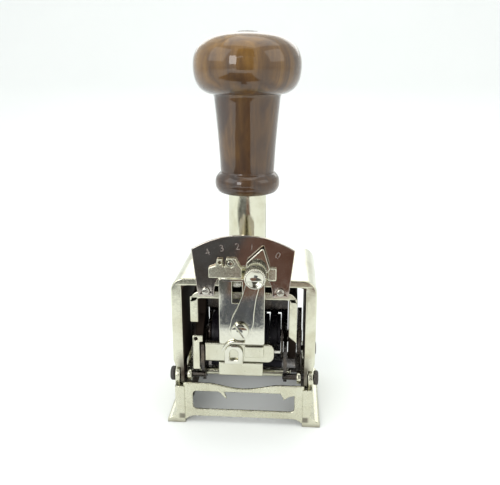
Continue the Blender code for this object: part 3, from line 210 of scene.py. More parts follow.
def plate(name, outline, axis, start, end, edge, body, material, replaced=(), holes=()):
    """One flat plate as a piece of its own."""
    verts, faces = plate_arrays(outline, axis, start, end, edge, holes)
    return evened(new_piece(name, verts, faces, body, replaced, material))


def sheet(name, node, outline, edge, body, material, holes=()):
    """An upright plate that spans a solid's box from front to back."""
    low, high = where(node)
    return plate(name, outline, "Y", low[1], high[1], edge, body, material, (node,), holes)


def node_of(material, kind, **inputs):
    """A shader node with its inputs set or linked by name."""
    node = material.node_tree.nodes.new(kind)
    for key, value in inputs.items():
        socket = node.inputs[key.replace("_", " ")]
        if isinstance(value, bpy.types.NodeSocket):
            material.node_tree.links.new(value, socket)
        else:
            socket.default_value = value
    return node


def surface(name):
    """A new material and its main shader."""
    material = bpy.data.materials.new(name)
    material.use_nodes = True
    return material, material.node_tree.nodes["Principled BSDF"]


def ramp_of(material, factor, stops):
    """A colour ramp from (place, colour) stops."""
    node = material.node_tree.nodes.new("ShaderNodeValToRGB")
    material.node_tree.links.new(factor, node.inputs["Fac"])
    elements = node.color_ramp.elements
    while len(elements) < len(stops):
        elements.new(0.5)
    for element, (place, colour) in zip(elements, stops):
        element.position = place
        element.color = (*colour, 1.0) if len(colour) == 3 else (colour[0],) * 3 + (1.0,)
    return node.outputs["Color"]


def grain_of(material, scale, stretch=(1, 1, 1), detail=4.0, rough=0.55, twist=0.0):
    """Fractal noise on the piece's own coordinates, stretched along its axes."""
    coordinate = material.node_tree.nodes.new("ShaderNodeTexCoord")
    mapping = node_of(material, "ShaderNodeMapping", Vector=coordinate.outputs["Object"], Scale=stretch)
    noise = node_of(material, "ShaderNodeTexNoise", Vector=mapping.outputs["Vector"], Scale=scale,
                    Detail=detail, Roughness=rough, Distortion=twist)
    return noise.outputs["Fac"]


def joined(material, kind, first, second):
    """Two values through one sum, product or other operation."""
    node = material.node_tree.nodes.new("ShaderNodeMath")
    node.operation = kind
    for socket, value in zip(node.inputs, (first, second)):
        if isinstance(value, bpy.types.NodeSocket):
            material.node_tree.links.new(value, socket)
        else:
            socket.default_value = value
    return node.outputs["Value"]


def zone_of(material, limits):
    """A product of ramps: each rises from 0 to 1 between two places along x, y, z or |x|."""
    coordinate = material.node_tree.nodes.new("ShaderNodeTexCoord")
    split = node_of(material, "ShaderNodeSeparateXYZ", Vector=coordinate.outputs["Object"])
    product = None
    for axis, start, end in limits:
        place = split.outputs["X" if axis == "W" else axis]
        if axis == "W":
            place = joined(material, "ABSOLUTE", place, 0.0)
        rise = node_of(material, "ShaderNodeMapRange", Value=place, From_Min=start * MM, From_Max=end * MM)
        product = rise.outputs["Result"] if product is None else joined(
            material, "MULTIPLY", product, rise.outputs["Result"])
    return product


def blended(material, factor, first, second):
    """Two colours mixed by a factor."""
    mix = material.node_tree.nodes.new("ShaderNodeMix")
    mix.data_type = "RGBA"
    mix.clamp_factor = True
    for socket, value in ((mix.inputs["Factor"], factor), (mix.inputs[6], first), (mix.inputs[7], second)):
        if isinstance(value, bpy.types.NodeSocket):
            material.node_tree.links.new(value, socket)
        else:
            socket.default_value = (*value, 1.0)
    return mix.outputs[2]


def metal(name, bright, dull, roughness, scratch=(1.0, 1.0, 0.08), depth=0.02, tarnish=(0.45, 0.72),
          shade_zones=(), shade_colour=(0.035, 0.024, 0.018)):
    """Plated or bare metal: bright, with dull tarnish clouds, fine drawn scratches and uneven gloss.

    Each shade zone is a part of the piece painted dark as shade where little light reaches, broken up by
    the clouds."""
    material, shader = surface(name)
    links = material.node_tree.links
    clouds = grain_of(material, 90.0, detail=6.0, rough=0.62, twist=0.6)
    colour = ramp_of(material, clouds, [(tarnish[0], bright), (tarnish[1], dull)])
    # painted shade: the zones are summed into one mask of the places where the piece lies in shade
    painted_shade = 0.0
    for strength, limits in shade_zones:
        shade_patch = joined(material, "MULTIPLY", zone_of(material, limits), strength)
        painted_shade = shade_patch if painted_shade == 0.0 else joined(material, "MAXIMUM", painted_shade, shade_patch)
    specks = grain_of(material, 900.0, detail=3.0)
    low, high = roughness
    gloss = ramp_of(material, specks, [(0.35, (low,)), (0.75, (high,))])
    # painted shade: inside the mask the colour darkens to the shade colour and the metal loses its shine
    if shade_zones:
        broken = joined(material, "MULTIPLY", painted_shade, joined(material, "ADD", clouds, 0.55))
        colour = blended(material, broken, colour, shade_colour)
        gloss = blended(material, broken, gloss, (0.8, 0.8, 0.8))
        unshaded = joined(material, "SUBTRACT", 1.0, broken)
        links.new(joined(material, "MAXIMUM", unshaded, 0.0), shader.inputs["Metallic"])
        links.new(joined(material, "MAXIMUM", joined(material, "MULTIPLY", unshaded, 0.5), 0.1),
                  shader.inputs["Specular IOR Level"])
    else:
        shader.inputs["Metallic"].default_value = 1.0
    links.new(colour, shader.inputs["Base Color"])
    links.new(gloss, shader.inputs["Roughness"])
    lines = grain_of(material, 2600.0, stretch=scratch, detail=2.0)
    bump = node_of(material, "ShaderNodeBump", Height=lines, Strength=depth, Distance=0.0001)
    links.new(bump.outputs["Normal"], shader.inputs["Normal"])
    return material


NICKEL_BRIGHT = (0.68, 0.67, 0.54)
NICKEL_DULL = (0.52, 0.49, 0.35)
# The zones of cast_nickel are painted shade: inside the walls behind the front wall, in the corner where
# the front rail meets each foot, and along the bottom edge at the floor.
cast_nickel = metal("cast_nickel", NICKEL_BRIGHT, NICKEL_DULL, (0.22, 0.32), scratch=(1, 1, 1), depth=0.04,
                    tarnish=(0.40, 0.90),
                    shade_zones=((0.9, (("W", 23.3, 23.15), ("Y", -15.8, -15.2))),
                           (0.7, (("W", 26.0, 25.0), ("W", 22.9, 23.4), ("Z", 4.6, 3.9), ("Z", 1.6, 2.4),
                                  ("Y", -17.4, -17.9))),
                           (0.5, (("Z", 2.0, 0.4),))))

base_low, base_high = where("base_frame")
frame_low, frame_high = where("outer_frame")
front_pin, rear_pin = (middle_of(node)[1:] for node in ("front_pin_right", "rear_pin_right"))
FOOT = base_high[0]
WALL_OUTER = FOOT - 3.3 * MM
WALL_INNER = WALL_OUTER - 3.8 * MM
WALL_TOP = 16.0 * MM
FRONT_WALL = 1.7 * MM
front_y, back_y = base_low[1], base_high[1]


def side_wall(sign):
    """One side wall: a section with a concave flare to a thin foot, run from front to back."""
    flare = arc(FOOT - 0.5 * MM, 2.2 * MM + 3.6 * MM, 3.4 * MM, 262, 190, 8)
    section = np.vstack([[(WALL_INNER, 0), (FOOT, 0), (FOOT, 1.5 * MM), (FOOT - 0.5 * MM, 2.3 * MM)], flare,
                         [(WALL_OUTER, 9.0 * MM), (WALL_OUTER, WALL_TOP), (WALL_INNER, WALL_TOP)]])
    section[:, 0] = np.minimum(section[:, 0], FOOT)
    section[:, 0] *= sign
    return plate_arrays(section, "Y", front_y, back_y, 0.45 * MM)


def ear(sign, place):
    """A round ear on the side wall, bored for its pin."""
    outline = np.vstack([[(place[0] - 3.9 * MM, WALL_TOP - MM), (place[0] + 3.9 * MM, WALL_TOP - MM)],
                         arc(place[0], place[1], 3.9 * MM, 0, 180, 20)])
    inner, outer = sorted((sign * (WALL_OUTER - 1.8 * MM), sign * WALL_OUTER))
    return plate_arrays(outline, "X", inner, outer, 0.35 * MM, [ring_outline(*place, 1.35 * MM, 20)])


def front_wall():
    """The front wall: a top edge that sags by a cosine bell, and a window with two sight fingers."""
    half = WALL_INNER + 0.6 * MM
    x = np.linspace(half, -half, 41)
    bell = 0.5 * (1 + np.cos(np.clip(x / (13.5 * MM), -1, 1) * math.pi))
    top = 17.4 * MM - 2.0 * MM * bell ** 0.7
    foot = np.linspace(-half, half, 41)
    drop = 2.5 * MM * (1 - np.clip((half - np.abs(foot)) / (4.5 * MM), 0, 1)) ** 2
    outline = np.vstack([np.stack([foot, 2.9 * MM - drop], axis=1), np.stack([x, top], axis=1)])
    w, low, high = 20.0 * MM, 6.0 * MM, 13.9 * MM
    left = np.array([(-7.4, 13.9), (-7.3, 13.0), (-6.7, 11.8), (-6.5, 10.9), (-7.1, 11.1), (-8.2, 12.2),
                     (-8.9, 13.3), (-10.2, 13.9)])
    right = np.array([(19.9, 13.2), (17.9, 12.6), (16.5, 11.6), (15.6, 11.2), (15.5, 12.2), (14.4, 13.9)])
    corner = 1.6 * MM
    window = np.vstack([arc(w - corner, low + corner, corner, -90, 0, 6), right * MM, left * MM,
                        arc(-w + corner, high - corner, corner, 90, 180, 6), arc(-w + corner, low + corner,
                                                                                 corner, 180, 270, 6)])
    return plate_arrays(outline, "Y", front_y + 0.6 * MM, front_y + FRONT_WALL, 0.35 * MM, [window])


rear_wall = plate_arrays(rectangle(-WALL_INNER - 0.6 * MM, WALL_INNER + 0.6 * MM, 0.4 * MM, 10.0 * MM), "Y",
                         back_y - FRONT_WALL, back_y, 0.4 * MM)
casting = [front_wall(), rear_wall]
for sign in (-1, 1):
    casting.append(side_wall(sign))
    for place in (front_pin, rear_pin):
        casting.append(ear(sign, place))
evened(new_piece("base_casting", *together(*casting), "stand", ("base_frame",), cast_nickel))

# ----------------------------------------------------------------------
# Outer frame.  One strip of steel bent into an inverted U, its edges rounded over and nickel
# plated, with a thin tongue at each foot that the pins pass through.
# ----------------------------------------------------------------------
LEG = 4.1 * MM
ROOF = 3.0 * MM
HALF = frame_high[0]
LEG_FOOT = front_pin[1] + 4.2 * MM
roof_top = frame_high[2]
strip = np.vstack([[(HALF - LEG, LEG_FOOT), (HALF - 0.9 * MM, LEG_FOOT), (HALF, LEG_FOOT + 3.0 * MM)],
                   arc(HALF - 5.2 * MM, roof_top - 5.2 * MM, 5.2 * MM, 0, 90, 14),
                   arc(-HALF + 5.2 * MM, roof_top - 5.2 * MM, 5.2 * MM, 90, 180, 14),
                   [(-HALF, LEG_FOOT + 3.0 * MM), (-HALF + 0.9 * MM, LEG_FOOT), (-HALF + LEG, LEG_FOOT)],
                   arc(-HALF + LEG + 2.4 * MM, roof_top - ROOF - 2.4 * MM, 2.4 * MM, 180, 90, 8),
                   arc(HALF - LEG - 2.4 * MM, roof_top - ROOF - 2.4 * MM, 2.4 * MM, 90, 0, 8)])
# The zones of strip_nickel are painted shade: the inside faces of the legs, the inner lower legs and the
# tongues down in the base.
strip_nickel = metal("strip_nickel", NICKEL_BRIGHT, NICKEL_DULL, (0.13, 0.25), scratch=(1, 1, 0.06),
                     depth=0.05, shade_zones=((1.4, (("W", 23.6, 23.42), ("Z", 57.5, 57.32))),
                                        (0.75, (("Z", 31.0, 24.0), ("W", 26.6, 24.6))),
                                        (0.8, (("Z", 23.6, 23.0),))))
bent = [plate_arrays(strip, "Y", frame_low[1], frame_high[1], 0.6 * MM)]
for sign in (-1, 1):
    for place in (front_pin, rear_pin):
        near, far = sorted((sign * (HALF - LEG), sign * (HALF - LEG + 1.4 * MM)))
        lead = max(place[0] - 4.4 * MM, frame_low[1] + 0.1 * MM)
        tongue = eased(rectangle(lead, place[0] + 4.4 * MM, WALL_TOP + 0.4 * MM, LEG_FOOT + 3 * MM),
                       1.2 * MM)
        bent.append(plate_arrays(tongue, "X", near + 0.02 * MM, far, 0.25 * MM,
                                 [ring_outline(*place, 1.4 * MM, 20)]))
evened(new_piece("outer_strip", *together(*bent), "stand", ("outer_frame",), strip_nickel))

# ----------------------------------------------------------------------
# Fixed pins.  Four turned steel pins with knurled blued heads, screwed through the ears, and two
# nickel spacer rings that keep the feed arms off the legs.
# ----------------------------------------------------------------------
sheet_nickel = metal("sheet_nickel", (0.70, 0.69, 0.56), NICKEL_DULL, (0.24, 0.29), scratch=(1, 1, 0.06),
                     depth=0.012, tarnish=(0.45, 1.0))
blued_steel = metal("blued_steel", (0.075, 0.07, 0.068), (0.16, 0.13, 0.10), (0.22, 0.42), depth=0.06)
bright_steel = metal("bright_steel", (0.58, 0.57, 0.52), (0.40, 0.37, 0.30), (0.18, 0.34), depth=0.06)


def turned_arrays(profile, axis, centre, segments=64, wave=None):
    """A profile of (radius, along) turned about an axis; wave(angle, radius) may pull points in.

    The profile either starts and ends on the axis or closes on itself."""
    profile = np.asarray(profile, float)
    angle = np.linspace(0, 2 * math.pi, segments, endpoint=False)
    radius = np.repeat(profile[:, :1], segments, axis=1)
    if wave is not None:
        radius = radius - wave(angle[None, :], profile[:, :1], profile[:, 1:])
    u = centre[0] + radius * np.cos(angle)
    v = centre[1] + radius * np.sin(angle)
    along = np.repeat(profile[:, 1:], segments, axis=1)
    grid = np.stack([u, v, along], axis=2)
    rows = len(profile)
    on_axis = profile[0, 0] < 1e-9
    i = np.arange(segments)
    j = (i + 1) % segments
    faces = []
    spans = rows - 1 if on_axis else rows
    for r in range(spans):
        near, far = r * segments, ((r + 1) % rows) * segments
        quad = np.stack([near + i, near + j, far + j, far + i], axis=1)
        if on_axis and r == 0:
            quad = np.stack([np.full(segments, near), far + j, far + i], axis=1)
        elif on_axis and r == spans - 1:
            quad = np.stack([near + i, near + j, np.full(segments, far)], axis=1)
        faces.extend(quad.tolist())
    flat = grid.reshape(-1, 3)
    placed = np.empty_like(flat)
    placed[:, AXES[axis]] = flat
    after = np.roll(profile, -1, axis=0)
    rise = np.sum((profile[:, 0] + after[:, 0]) * (after[:, 1] - profile[:, 1]))
    if (rise < 0) != (axis == "Y"):
        faces = [face[::-1] for face in faces]
    return placed, faces


def solid_profile(radius, start, end, ease):
    """A plain turned rod from end to end with eased rims, from axis to axis."""
    return eased([(0, start), (radius, start), (radius, end), (0, end)], ease, closed=False)


def hollow_profile(outer, inner, start, end, ease):
    """A plain turned ring with eased rims."""
    return eased([(inner, start), (outer, start), (outer, end), (inner, end)], ease)


def turned(name, profile, axis, centre, body, material, replaced=(), segments=64, wave=None):
    """One turned part as a piece of its own."""
    return evened(new_piece(name, *turned_arrays(profile, axis, centre, segments, wave), body, replaced,
                            material))


def knurl(teeth, depth, low, high):
    """Grooves cut along the rim between two places: depth times a sharpened cosine of the angle."""
    def wave(angle, radius, along):
        groove = np.abs(np.cos(teeth / 2 * angle)) ** 3
        return depth * groove * ((along > low) & (along < high)) * (radius > 0.8 * radius.max())
    return wave


for place, label in ((front_pin, "front"), (rear_pin, "rear")):
    for sign, side in ((-1, "left"), (1, "right")):
        low, high = where(f"{label}_pin_{side}")
        inner, outer = (low[0], high[0]) if sign > 0 else (high[0], low[0])
        shaft = solid_profile(1.2 * MM, *sorted((inner, outer - sign * 1.2 * MM)), 0.25 * MM)
        head_in = outer - sign * 1.85 * MM
        head = [(0, head_in), (2.5 * MM, head_in), (2.8 * MM, head_in + sign * 0.3 * MM),
                (2.8 * MM, outer - sign * 0.45 * MM), (2.4 * MM, outer), (1.0 * MM, outer),
                (0.8 * MM, outer - sign * 0.35 * MM), (0, outer - sign * 0.35 * MM)]
        if sign < 0:
            head = head[::-1]
        rows = np.array(head)
        shapes = [turned_arrays(shaft, "X", place, 28), turned_arrays(rows, "X", place, 112,
                                                                      knurl(28, 0.22 * MM, rows[:, 1].min(),
                                                                            rows[:, 1].max()))]
        evened(new_piece(f"{label}_screw_{side}", *together(*shapes), "stand", (f"{label}_pin_{side}",),
                         blued_steel))
for side in ("left", "right"):
    low, high = where(f"front_pin_ring_{side}")
    turned(f"spacer_ring_{side}", hollow_profile(2.7 * MM, 1.4 * MM, low[0], high[0], 0.4 * MM), "X",
           front_pin, "stand", sheet_nickel, (f"front_pin_ring_{side}",), 40)

# ----------------------------------------------------------------------
# Guide bush.  A turned and plated bush riveted through the roof, with a steel pin across it that
# the return spring stands on.
# ----------------------------------------------------------------------
turned_nickel = metal("turned_nickel", NICKEL_BRIGHT, NICKEL_DULL, (0.10, 0.20), scratch=(0.05, 0.05, 1),
                      depth=0.03)
bush_low, bush_high = where("guide_bush")
TUBE = middle_of("plunger_tube")[:2]
bush = eased([(7.8 * MM, bush_low[2]), (9.0 * MM, bush_low[2]), (9.0 * MM, roof_top + 0.3 * MM),
              (13.0 * MM, roof_top + 0.3 * MM), (13.0 * MM, roof_top + 1.8 * MM),
              (10.0 * MM, roof_top + 2.0 * MM), (9.6 * MM, bush_high[2]), (7.8 * MM, bush_high[2])],
             0.5 * MM)
turned("guide_collar", bush, "Z", TUBE, "stand", turned_nickel, ("guide_bush",), 96)
cross_low, cross_high = where("spring_cross_pin")
turned("cross_rivet", solid_profile(1.1 * MM, cross_low[0], cross_high[0], 0.3 * MM), "X",
       middle_of("spring_cross_pin")[1:], "stand", bright_steel, ("spring_cross_pin",), 24)

# ----------------------------------------------------------------------
# Return spring.  Hard-drawn steel wire wound in a close helix, ground flat at both ends, inside
# the tube.  It shortens as the plunger goes down.
# ----------------------------------------------------------------------


def wire_arrays(path, radius, up, sides=10):
    """A round wire along a path: at each point a circle across the tangent, closed by fans at its ends."""
    path = np.asarray(path, float)
    tangent = np.gradient(path, axis=0)
    tangent /= np.linalg.norm(tangent, axis=1, keepdims=True)
    side = np.cross(tangent, np.asarray(up, float))
    side /= np.linalg.norm(side, axis=1, keepdims=True)
    lift = np.cross(side, tangent)
    angle = np.linspace(0, 2 * math.pi, sides, endpoint=False)
    circle = side[:, None] * np.cos(angle)[None, :, None] + lift[:, None] * np.sin(angle)[None, :, None]
    rings = path[:, None] + radius * circle
    count = len(path)
    i = np.arange(sides)
    j = (i + 1) % sides
    start = (np.arange(count - 1) * sides)[:, None]
    quads = np.stack([start + i, start + sides + i, start + sides + j, start + j], axis=2).reshape(-1, 4)
    verts = np.vstack([rings.reshape(-1, 3), path[:1], path[-1:]])
    first, last = len(verts) - 2, len(verts) - 1
    tail = (count - 1) * sides
    caps = np.vstack([np.stack([np.full(sides, first), i, j], axis=1),
                      np.stack([np.full(sides, last), tail + j, tail + i], axis=1)])
    return verts, quads.tolist() + caps.tolist()


def helix(axis, centre, radius, low, high, turns, steps=28):
    """Points of a helix: a circle across the axis while the place along it grows evenly."""
    t = np.linspace(0, 1, int(turns * steps) + 1)
    angle = 2 * math.pi * turns * t
    flat = np.stack([centre[0] + radius * np.cos(angle), centre[1] + radius * np.sin(angle),
                     low + (high - low) * t], axis=1)
    placed = np.empty_like(flat)
    placed[:, AXES[axis]] = flat
    return placed


spring_low, spring_high = where("return_spring")
coil = helix("Z", TUBE, 4.85 * MM, spring_low[2] + 0.6 * MM, spring_high[2] - 0.6 * MM, 15)
spring = new_piece("return_coil", *wire_arrays(coil, 0.55 * MM, (0, 0, 1)), "stand", ("return_spring",),
                   bright_steel)
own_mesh(spring)

# ----------------------------------------------------------------------
# Plunger tube.  Seamless steel tube, polished and nickel plated, slotted down both sides for the
# cross pin, closed at the top by a steel plug and fixed to the carriage below.
# ----------------------------------------------------------------------


def cut_away(piece, cutters):
    """Cuts closed shapes out of a piece with an exact Boolean, applied to its mesh."""
    for points, polygons in cutters:
        mesh = bpy.data.meshes.new("cutter")
        mesh.from_pydata(points.tolist(), [], polygons)
        cutter = bpy.data.objects.new("cutter", mesh)
        bpy.context.collection.objects.link(cutter)
        step = piece.modifiers.new("cut", "BOOLEAN")
        step.operation = "DIFFERENCE"
        step.solver = "EXACT"
        step.object = cutter
        kept = [m for m in piece.modifiers if m.type != "BOOLEAN"]
        for other in kept:
            other.show_viewport = False
        bpy.context.view_layer.update()
        seen = piece.evaluated_get(bpy.context.evaluated_depsgraph_get())
        cut = bpy.data.meshes.new_from_object(seen)
        piece.modifiers.remove(step)
        for other in kept:
            other.show_viewport = True
        old, piece.data = piece.data, cut
        cut.name = old.name
        bpy.data.meshes.remove(old)
        bpy.data.objects.remove(cutter)
        bpy.data.meshes.remove(mesh)
    return piece


tube_low, tube_high = where("plunger_tube")
tube = new_piece("nickel_tube", *turned_arrays(hollow_profile(7.45 * MM, 6.05 * MM, tube_low[2],
                                                              tube_high[2], 0.3 * MM), "Z", TUBE, 96),
                 "plunger", ("plunger_tube",), turned_nickel)
STROKE = 18.7 * MM
slot_low, slot_high = cross_low[2] - 0.6 * MM, cross_high[2] + STROKE + 0.6 * MM
slot_shape = np.vstack([arc(TUBE[1], slot_low + 1.4 * MM, 1.4 * MM, 180, 360, 10),
                        arc(TUBE[1], slot_high - 1.4 * MM, 1.4 * MM, 0, 180, 10)])
NO_EDGE = 0.0001 * MM
cut_away(tube, [plate_arrays(slot_shape, "X", sign * 4.4 * MM, sign * 9 * MM, NO_EDGE) for sign in (-1, 1)])
tube.data.shade_smooth()
tube.data.set_sharp_from_angle(angle=math.radians(40))
plug_low, plug_high = where("tube_plug")
turned("tube_stopper", solid_profile(5.75 * MM, plug_low[2], plug_high[2], 0.3 * MM), "Z", TUBE, "plunger",
       bright_steel, ("tube_plug",), 48)

# ----------------------------------------------------------------------
# Handle.  Turned hardwood, stained brown and thickly varnished: a ball cap, a tapering neck and a
# bead at the foot, with a small plug over the screw that holds it to the tube.
# ----------------------------------------------------------------------


def smooth_curve(points, count):
    """A centripetal Catmull-Rom curve through the points: cubic blends of each four neighbours."""
    points = np.asarray(points, float)
    full = np.vstack([2 * points[0] - points[1], points, 2 * points[-1] - points[-2]])
    spans = len(points) - 1
    t = np.linspace(0, spans, count)
    k = np.minimum(t.astype(int), spans - 1)
    f = (t - k)[:, None]
    a, b, c, d = full[k], full[k + 1], full[k + 2], full[k + 3]
    square, cube = 2 * a - 5 * b + 4 * c - d, 3 * b - a - 3 * c + d
    return 0.5 * (2 * b + (c - a) * f + square * f ** 2 + cube * f ** 3)


def varnished(name):
    """Stained wood under varnish: long dark streaks, cloudy golden patches, lighter and more golden towards
    the top, and a clear glossy coat.
    """
    material, shader = surface(name)
    links = material.node_tree.links
    streaks = grain_of(material, 150.0, stretch=(1.0, 1.0, 0.10), detail=8.0, rough=0.65, twist=1.2)
    clouds = grain_of(material, 45.0, stretch=(1.0, 1.0, 0.7), detail=3.0, twist=0.8)
    dark = ramp_of(material, streaks, [(0.30, (0.011, 0.0036, 0.0009)), (0.52, (0.034, 0.0115, 0.0024)),
                                       (0.72, (0.082, 0.034, 0.0065))])
    gold = ramp_of(material, streaks, [(0.30, (0.090, 0.037, 0.0055)), (0.60, (0.225, 0.112, 0.017)),
                                       (0.80, (0.34, 0.19, 0.035))])
    # The height ramp makes the colour lighter and more golden towards the top of the handle.
    height = zone_of(material, (("Z", 122.0, 150.0),))
    cloudy = joined(material, "SUBTRACT", joined(material, "MULTIPLY", clouds, 1.9), 0.85)
    golden = joined(material, "ADD", joined(material, "MULTIPLY", height, 0.75), cloudy)
    links.new(blended(material, golden, dark, gold), shader.inputs["Base Color"])
    shader.inputs["Roughness"].default_value = 0.5
    shader.inputs["Specular IOR Level"].default_value = 0.25
    shader.inputs["Coat Weight"].default_value = 1.0
    shader.inputs["Coat Roughness"].default_value = 0.03
    shader.inputs["Coat IOR"].default_value = 1.55
    ripple = grain_of(material, 120.0, detail=2.0)
    bump = node_of(material, "ShaderNodeBump", Height=ripple, Strength=0.10, Distance=0.0004)
    links.new(bump.outputs["Normal"], shader.inputs["Coat Normal"])
    return material


wood = varnished("stained_wood")
body_curve = smooth_curve([(9.9, 89.3), (11.3, 89.9), (12.3, 91.6), (12.5, 93.4), (12.2, 95.2),
                           (11.2, 96.6), (10.45, 97.3)], 26)
neck_curve = smooth_curve([(10.36, 97.7), (10.45, 99.0), (10.9, 107.0), (11.7, 117.0), (12.5, 125.4)], 22)
cap_curve = smooth_curve([(12.9, 126.4), (15.2, 126.9), (17.8, 128.7), (19.5, 131.8), (20.15, 136.3),
                          (19.7, 140.2), (17.9, 143.7), (14.2, 146.4), (9.4, 147.9), (5.6, 148.3),
                          (4.95, 148.15)], 60)
inside = [(4.9, 146.8), (0.0, 146.8)]
bore = [(0.0, 122.3), (7.75, 122.3), (7.75, 89.6), (8.2, 89.3)]
handle_profile = np.vstack([bore, body_curve, neck_curve, cap_curve, inside]) * MM
turned("turned_handle", handle_profile, "Z", TUBE, "plunger", wood, ("wooden_handle",), 128)
cover = smooth_curve([(4.55, 147.1), (4.6, 148.0), (4.2, 148.55), (2.4, 148.9), (0.0, 149.0)], 14) * MM
turned("screw_cover", np.vstack([[(0, 147.1 * MM)], cover]), "Z", TUBE, "plunger", blued_steel,
       ("handle_plug",), 48)

# ----------------------------------------------------------------------
# Carriage.  The inner frame is a pressed and plated steel bridge with a round-shouldered roof,
# a rear leg each side for the wheel shaft and thin tabs in front; a fibre collar softens its stop.
# ----------------------------------------------------------------------
# The zones of carriage_nickel are painted shade inside the bridge, under its roof and behind its front.
carriage_nickel = metal("carriage_nickel", NICKEL_BRIGHT, NICKEL_DULL, (0.13, 0.25), scratch=(1, 1, 0.06),
                        depth=0.05, shade_zones=((1.5, (("W", 17.5, 17.15), ("Z", 52.4, 52.0))),
                                           (1.5, (("Y", -14.6, -13.8), ("Z", 52.6, 51.9)))))
inner_low, inner_high = where("inner_frame")
AXLE = middle_of("wheel_shaft")
axle_centre = AXLE[1:]
BORE = 2.9 * MM
LEG_BACK = AXLE[1] + 8.6 * MM
SHOULDER = inner_high[0]
shoulder_z = inner_high[2]
under_z = shoulder_z - 3.2 * MM
roof_outline = np.vstack([[(-SHOULDER, under_z - 1.0 * MM), (-SHOULDER + 2.6 * MM, under_z - 1.0 * MM)],
                          arc(-SHOULDER + 4.2 * MM, under_z - 1.4 * MM, 1.6 * MM, 165, 90, 5),
                          arc(SHOULDER - 4.2 * MM, under_z - 1.4 * MM, 1.6 * MM, 90, 15, 5),
                          [(SHOULDER - 2.6 * MM, under_z - 1.0 * MM), (SHOULDER, under_z - 1.0 * MM)],
                          arc(SHOULDER - 4.4 * MM, shoulder_z - 4.4 * MM, 4.4 * MM, 0, 90, 12),
                          arc(-SHOULDER + 4.4 * MM, shoulder_z - 4.4 * MM, 4.4 * MM, 90, 180, 12)])
roof_outline[:, 1] = np.maximum(roof_outline[:, 1], under_z - 1.0 * MM)
carriage = [plate_arrays(roof_outline, "Y", inner_low[1], inner_high[1], 0.5 * MM)]
leg_outline = np.vstack([[(LEG_BACK, under_z + MM), (AXLE[1] - MM, under_z + MM)],
                         arc(*axle_centre, 9.5 * MM, 96, 388, 60)])
for sign, end in ((-1, 42.6 * MM), (1, 34.5 * MM)):
    near, far = sorted((sign * (SHOULDER - 3.3 * MM), sign * SHOULDER))
    carriage.append(plate_arrays(leg_outline, "X", near, far, 0.4 * MM,
                                 [ring_outline(*axle_centre, BORE, 32)]))
    slant = 0.0 if sign < 0 else 3.3 * MM
    tab = eased([(sign * (SHOULDER - 3.3 * MM), end + slant), (sign * SHOULDER, end),
                 (sign * SHOULDER, under_z + MM), (sign * (SHOULDER - 3.3 * MM), under_z + MM)], 0.5 * MM)
    carriage.append(plate_arrays(tab, "Y", inner_low[1], inner_low[1] + 1.2 * MM, 0.35 * MM))
evened(new_piece("carriage_bridge", *together(*carriage), "plunger", ("inner_frame",), carriage_nickel))
fibre = metal("vulcanised_fibre", (0.13, 0.05, 0.03), (0.07, 0.03, 0.02), (0.6, 0.8), depth=0.2)
fibre.node_tree.nodes["Principled BSDF"].inputs["Metallic"].default_value = 0.0
collar_low, collar_high = where("stop_collar")
turned("fibre_collar", hollow_profile(9.6 * MM, 7.75 * MM, collar_low[2], collar_high[2], 0.3 * MM), "Z",
       TUBE, "plunger", fibre, ("stop_collar",), 64)

# ----------------------------------------------------------------------
# Wheel shaft.  A ground steel shaft across the carriage, with a spacer at each end of the stack.
# ----------------------------------------------------------------------
axle_low, axle_high = where("wheel_shaft")
turned("ground_shaft", solid_profile(2.6 * MM, axle_low[0], axle_high[0], 0.4 * MM), "X", axle_centre,
       "plunger", bright_steel, ("wheel_shaft",), 40)
for side in ("left", "right"):
    low, high = where(f"shaft_spacer_{side}")
    inner, outer = sorted((low[0], high[0]), key=abs)
    near, far = sorted((inner - math.copysign(0.2 * MM, inner), outer))
    turned(f"stack_cheek_{side}", hollow_profile(9.9 * MM, BORE, near, far, 0.15 * MM), "X", axle_centre,
           "plunger", blued_steel, (f"shaft_spacer_{side}",), 40)

# ----------------------------------------------------------------------
# Number wheels.  Brass wheels black with dried ink: ten raised mirrored figures round the rim and
# a ten-tooth ratchet on one flank for the feed pawl.
# ----------------------------------------------------------------------


def inked(name):
    """Metal under dried ink: near black with a violet cast, patchy gloss, brass showing at worn spots."""
    material, shader = surface(name)
    links = material.node_tree.links
    crust = grain_of(material, 420.0, detail=6.0, rough=0.7)
    links.new(ramp_of(material, crust, [(0.40, (0.008, 0.007, 0.011)), (0.66, (0.020, 0.017, 0.024)),
                                        (0.80, (0.11, 0.08, 0.045))]), shader.inputs["Base Color"])
    links.new(ramp_of(material, crust, [(0.35, (0.30,)), (0.70, (0.62,))]), shader.inputs["Roughness"])
    shader.inputs["Metallic"].default_value = 0.35
    bump = node_of(material, "ShaderNodeBump", Height=crust, Strength=0.35, Distance=0.0001)
    links.new(bump.outputs["Normal"], shader.inputs["Normal"])
    return material


ink_black = inked("dried_ink")


def figure_arrays(text, height, depth):
    """A figure as flat type with a thickness: its points run across, up and out of the face."""
    curve = bpy.data.curves.new("figure", "FONT")
    curve.body = text
    curve.size = height
    curve.extrude = depth / 2
    curve.align_x = "CENTER"
    curve.align_y = "CENTER"
    curve.resolution_u = 3
    letter = bpy.data.objects.new("figure", curve)
    bpy.context.collection.objects.link(letter)
    bpy.context.view_layer.update()
    mesh = bpy.data.meshes.new_from_object(letter.evaluated_get(bpy.context.evaluated_depsgraph_get()))
    points = np.empty(len(mesh.vertices) * 3)
    mesh.vertices.foreach_get("co", points)
    faces = [list(polygon.vertices) for polygon in mesh.polygons]
    bpy.data.objects.remove(letter)
    bpy.data.curves.remove(curve)
    bpy.data.meshes.remove(mesh)
    return points.reshape(-1, 3), faces


FIGURES = [figure_arrays(str(digit), 4.6 * MM, 0.9 * MM) for digit in range(10)]


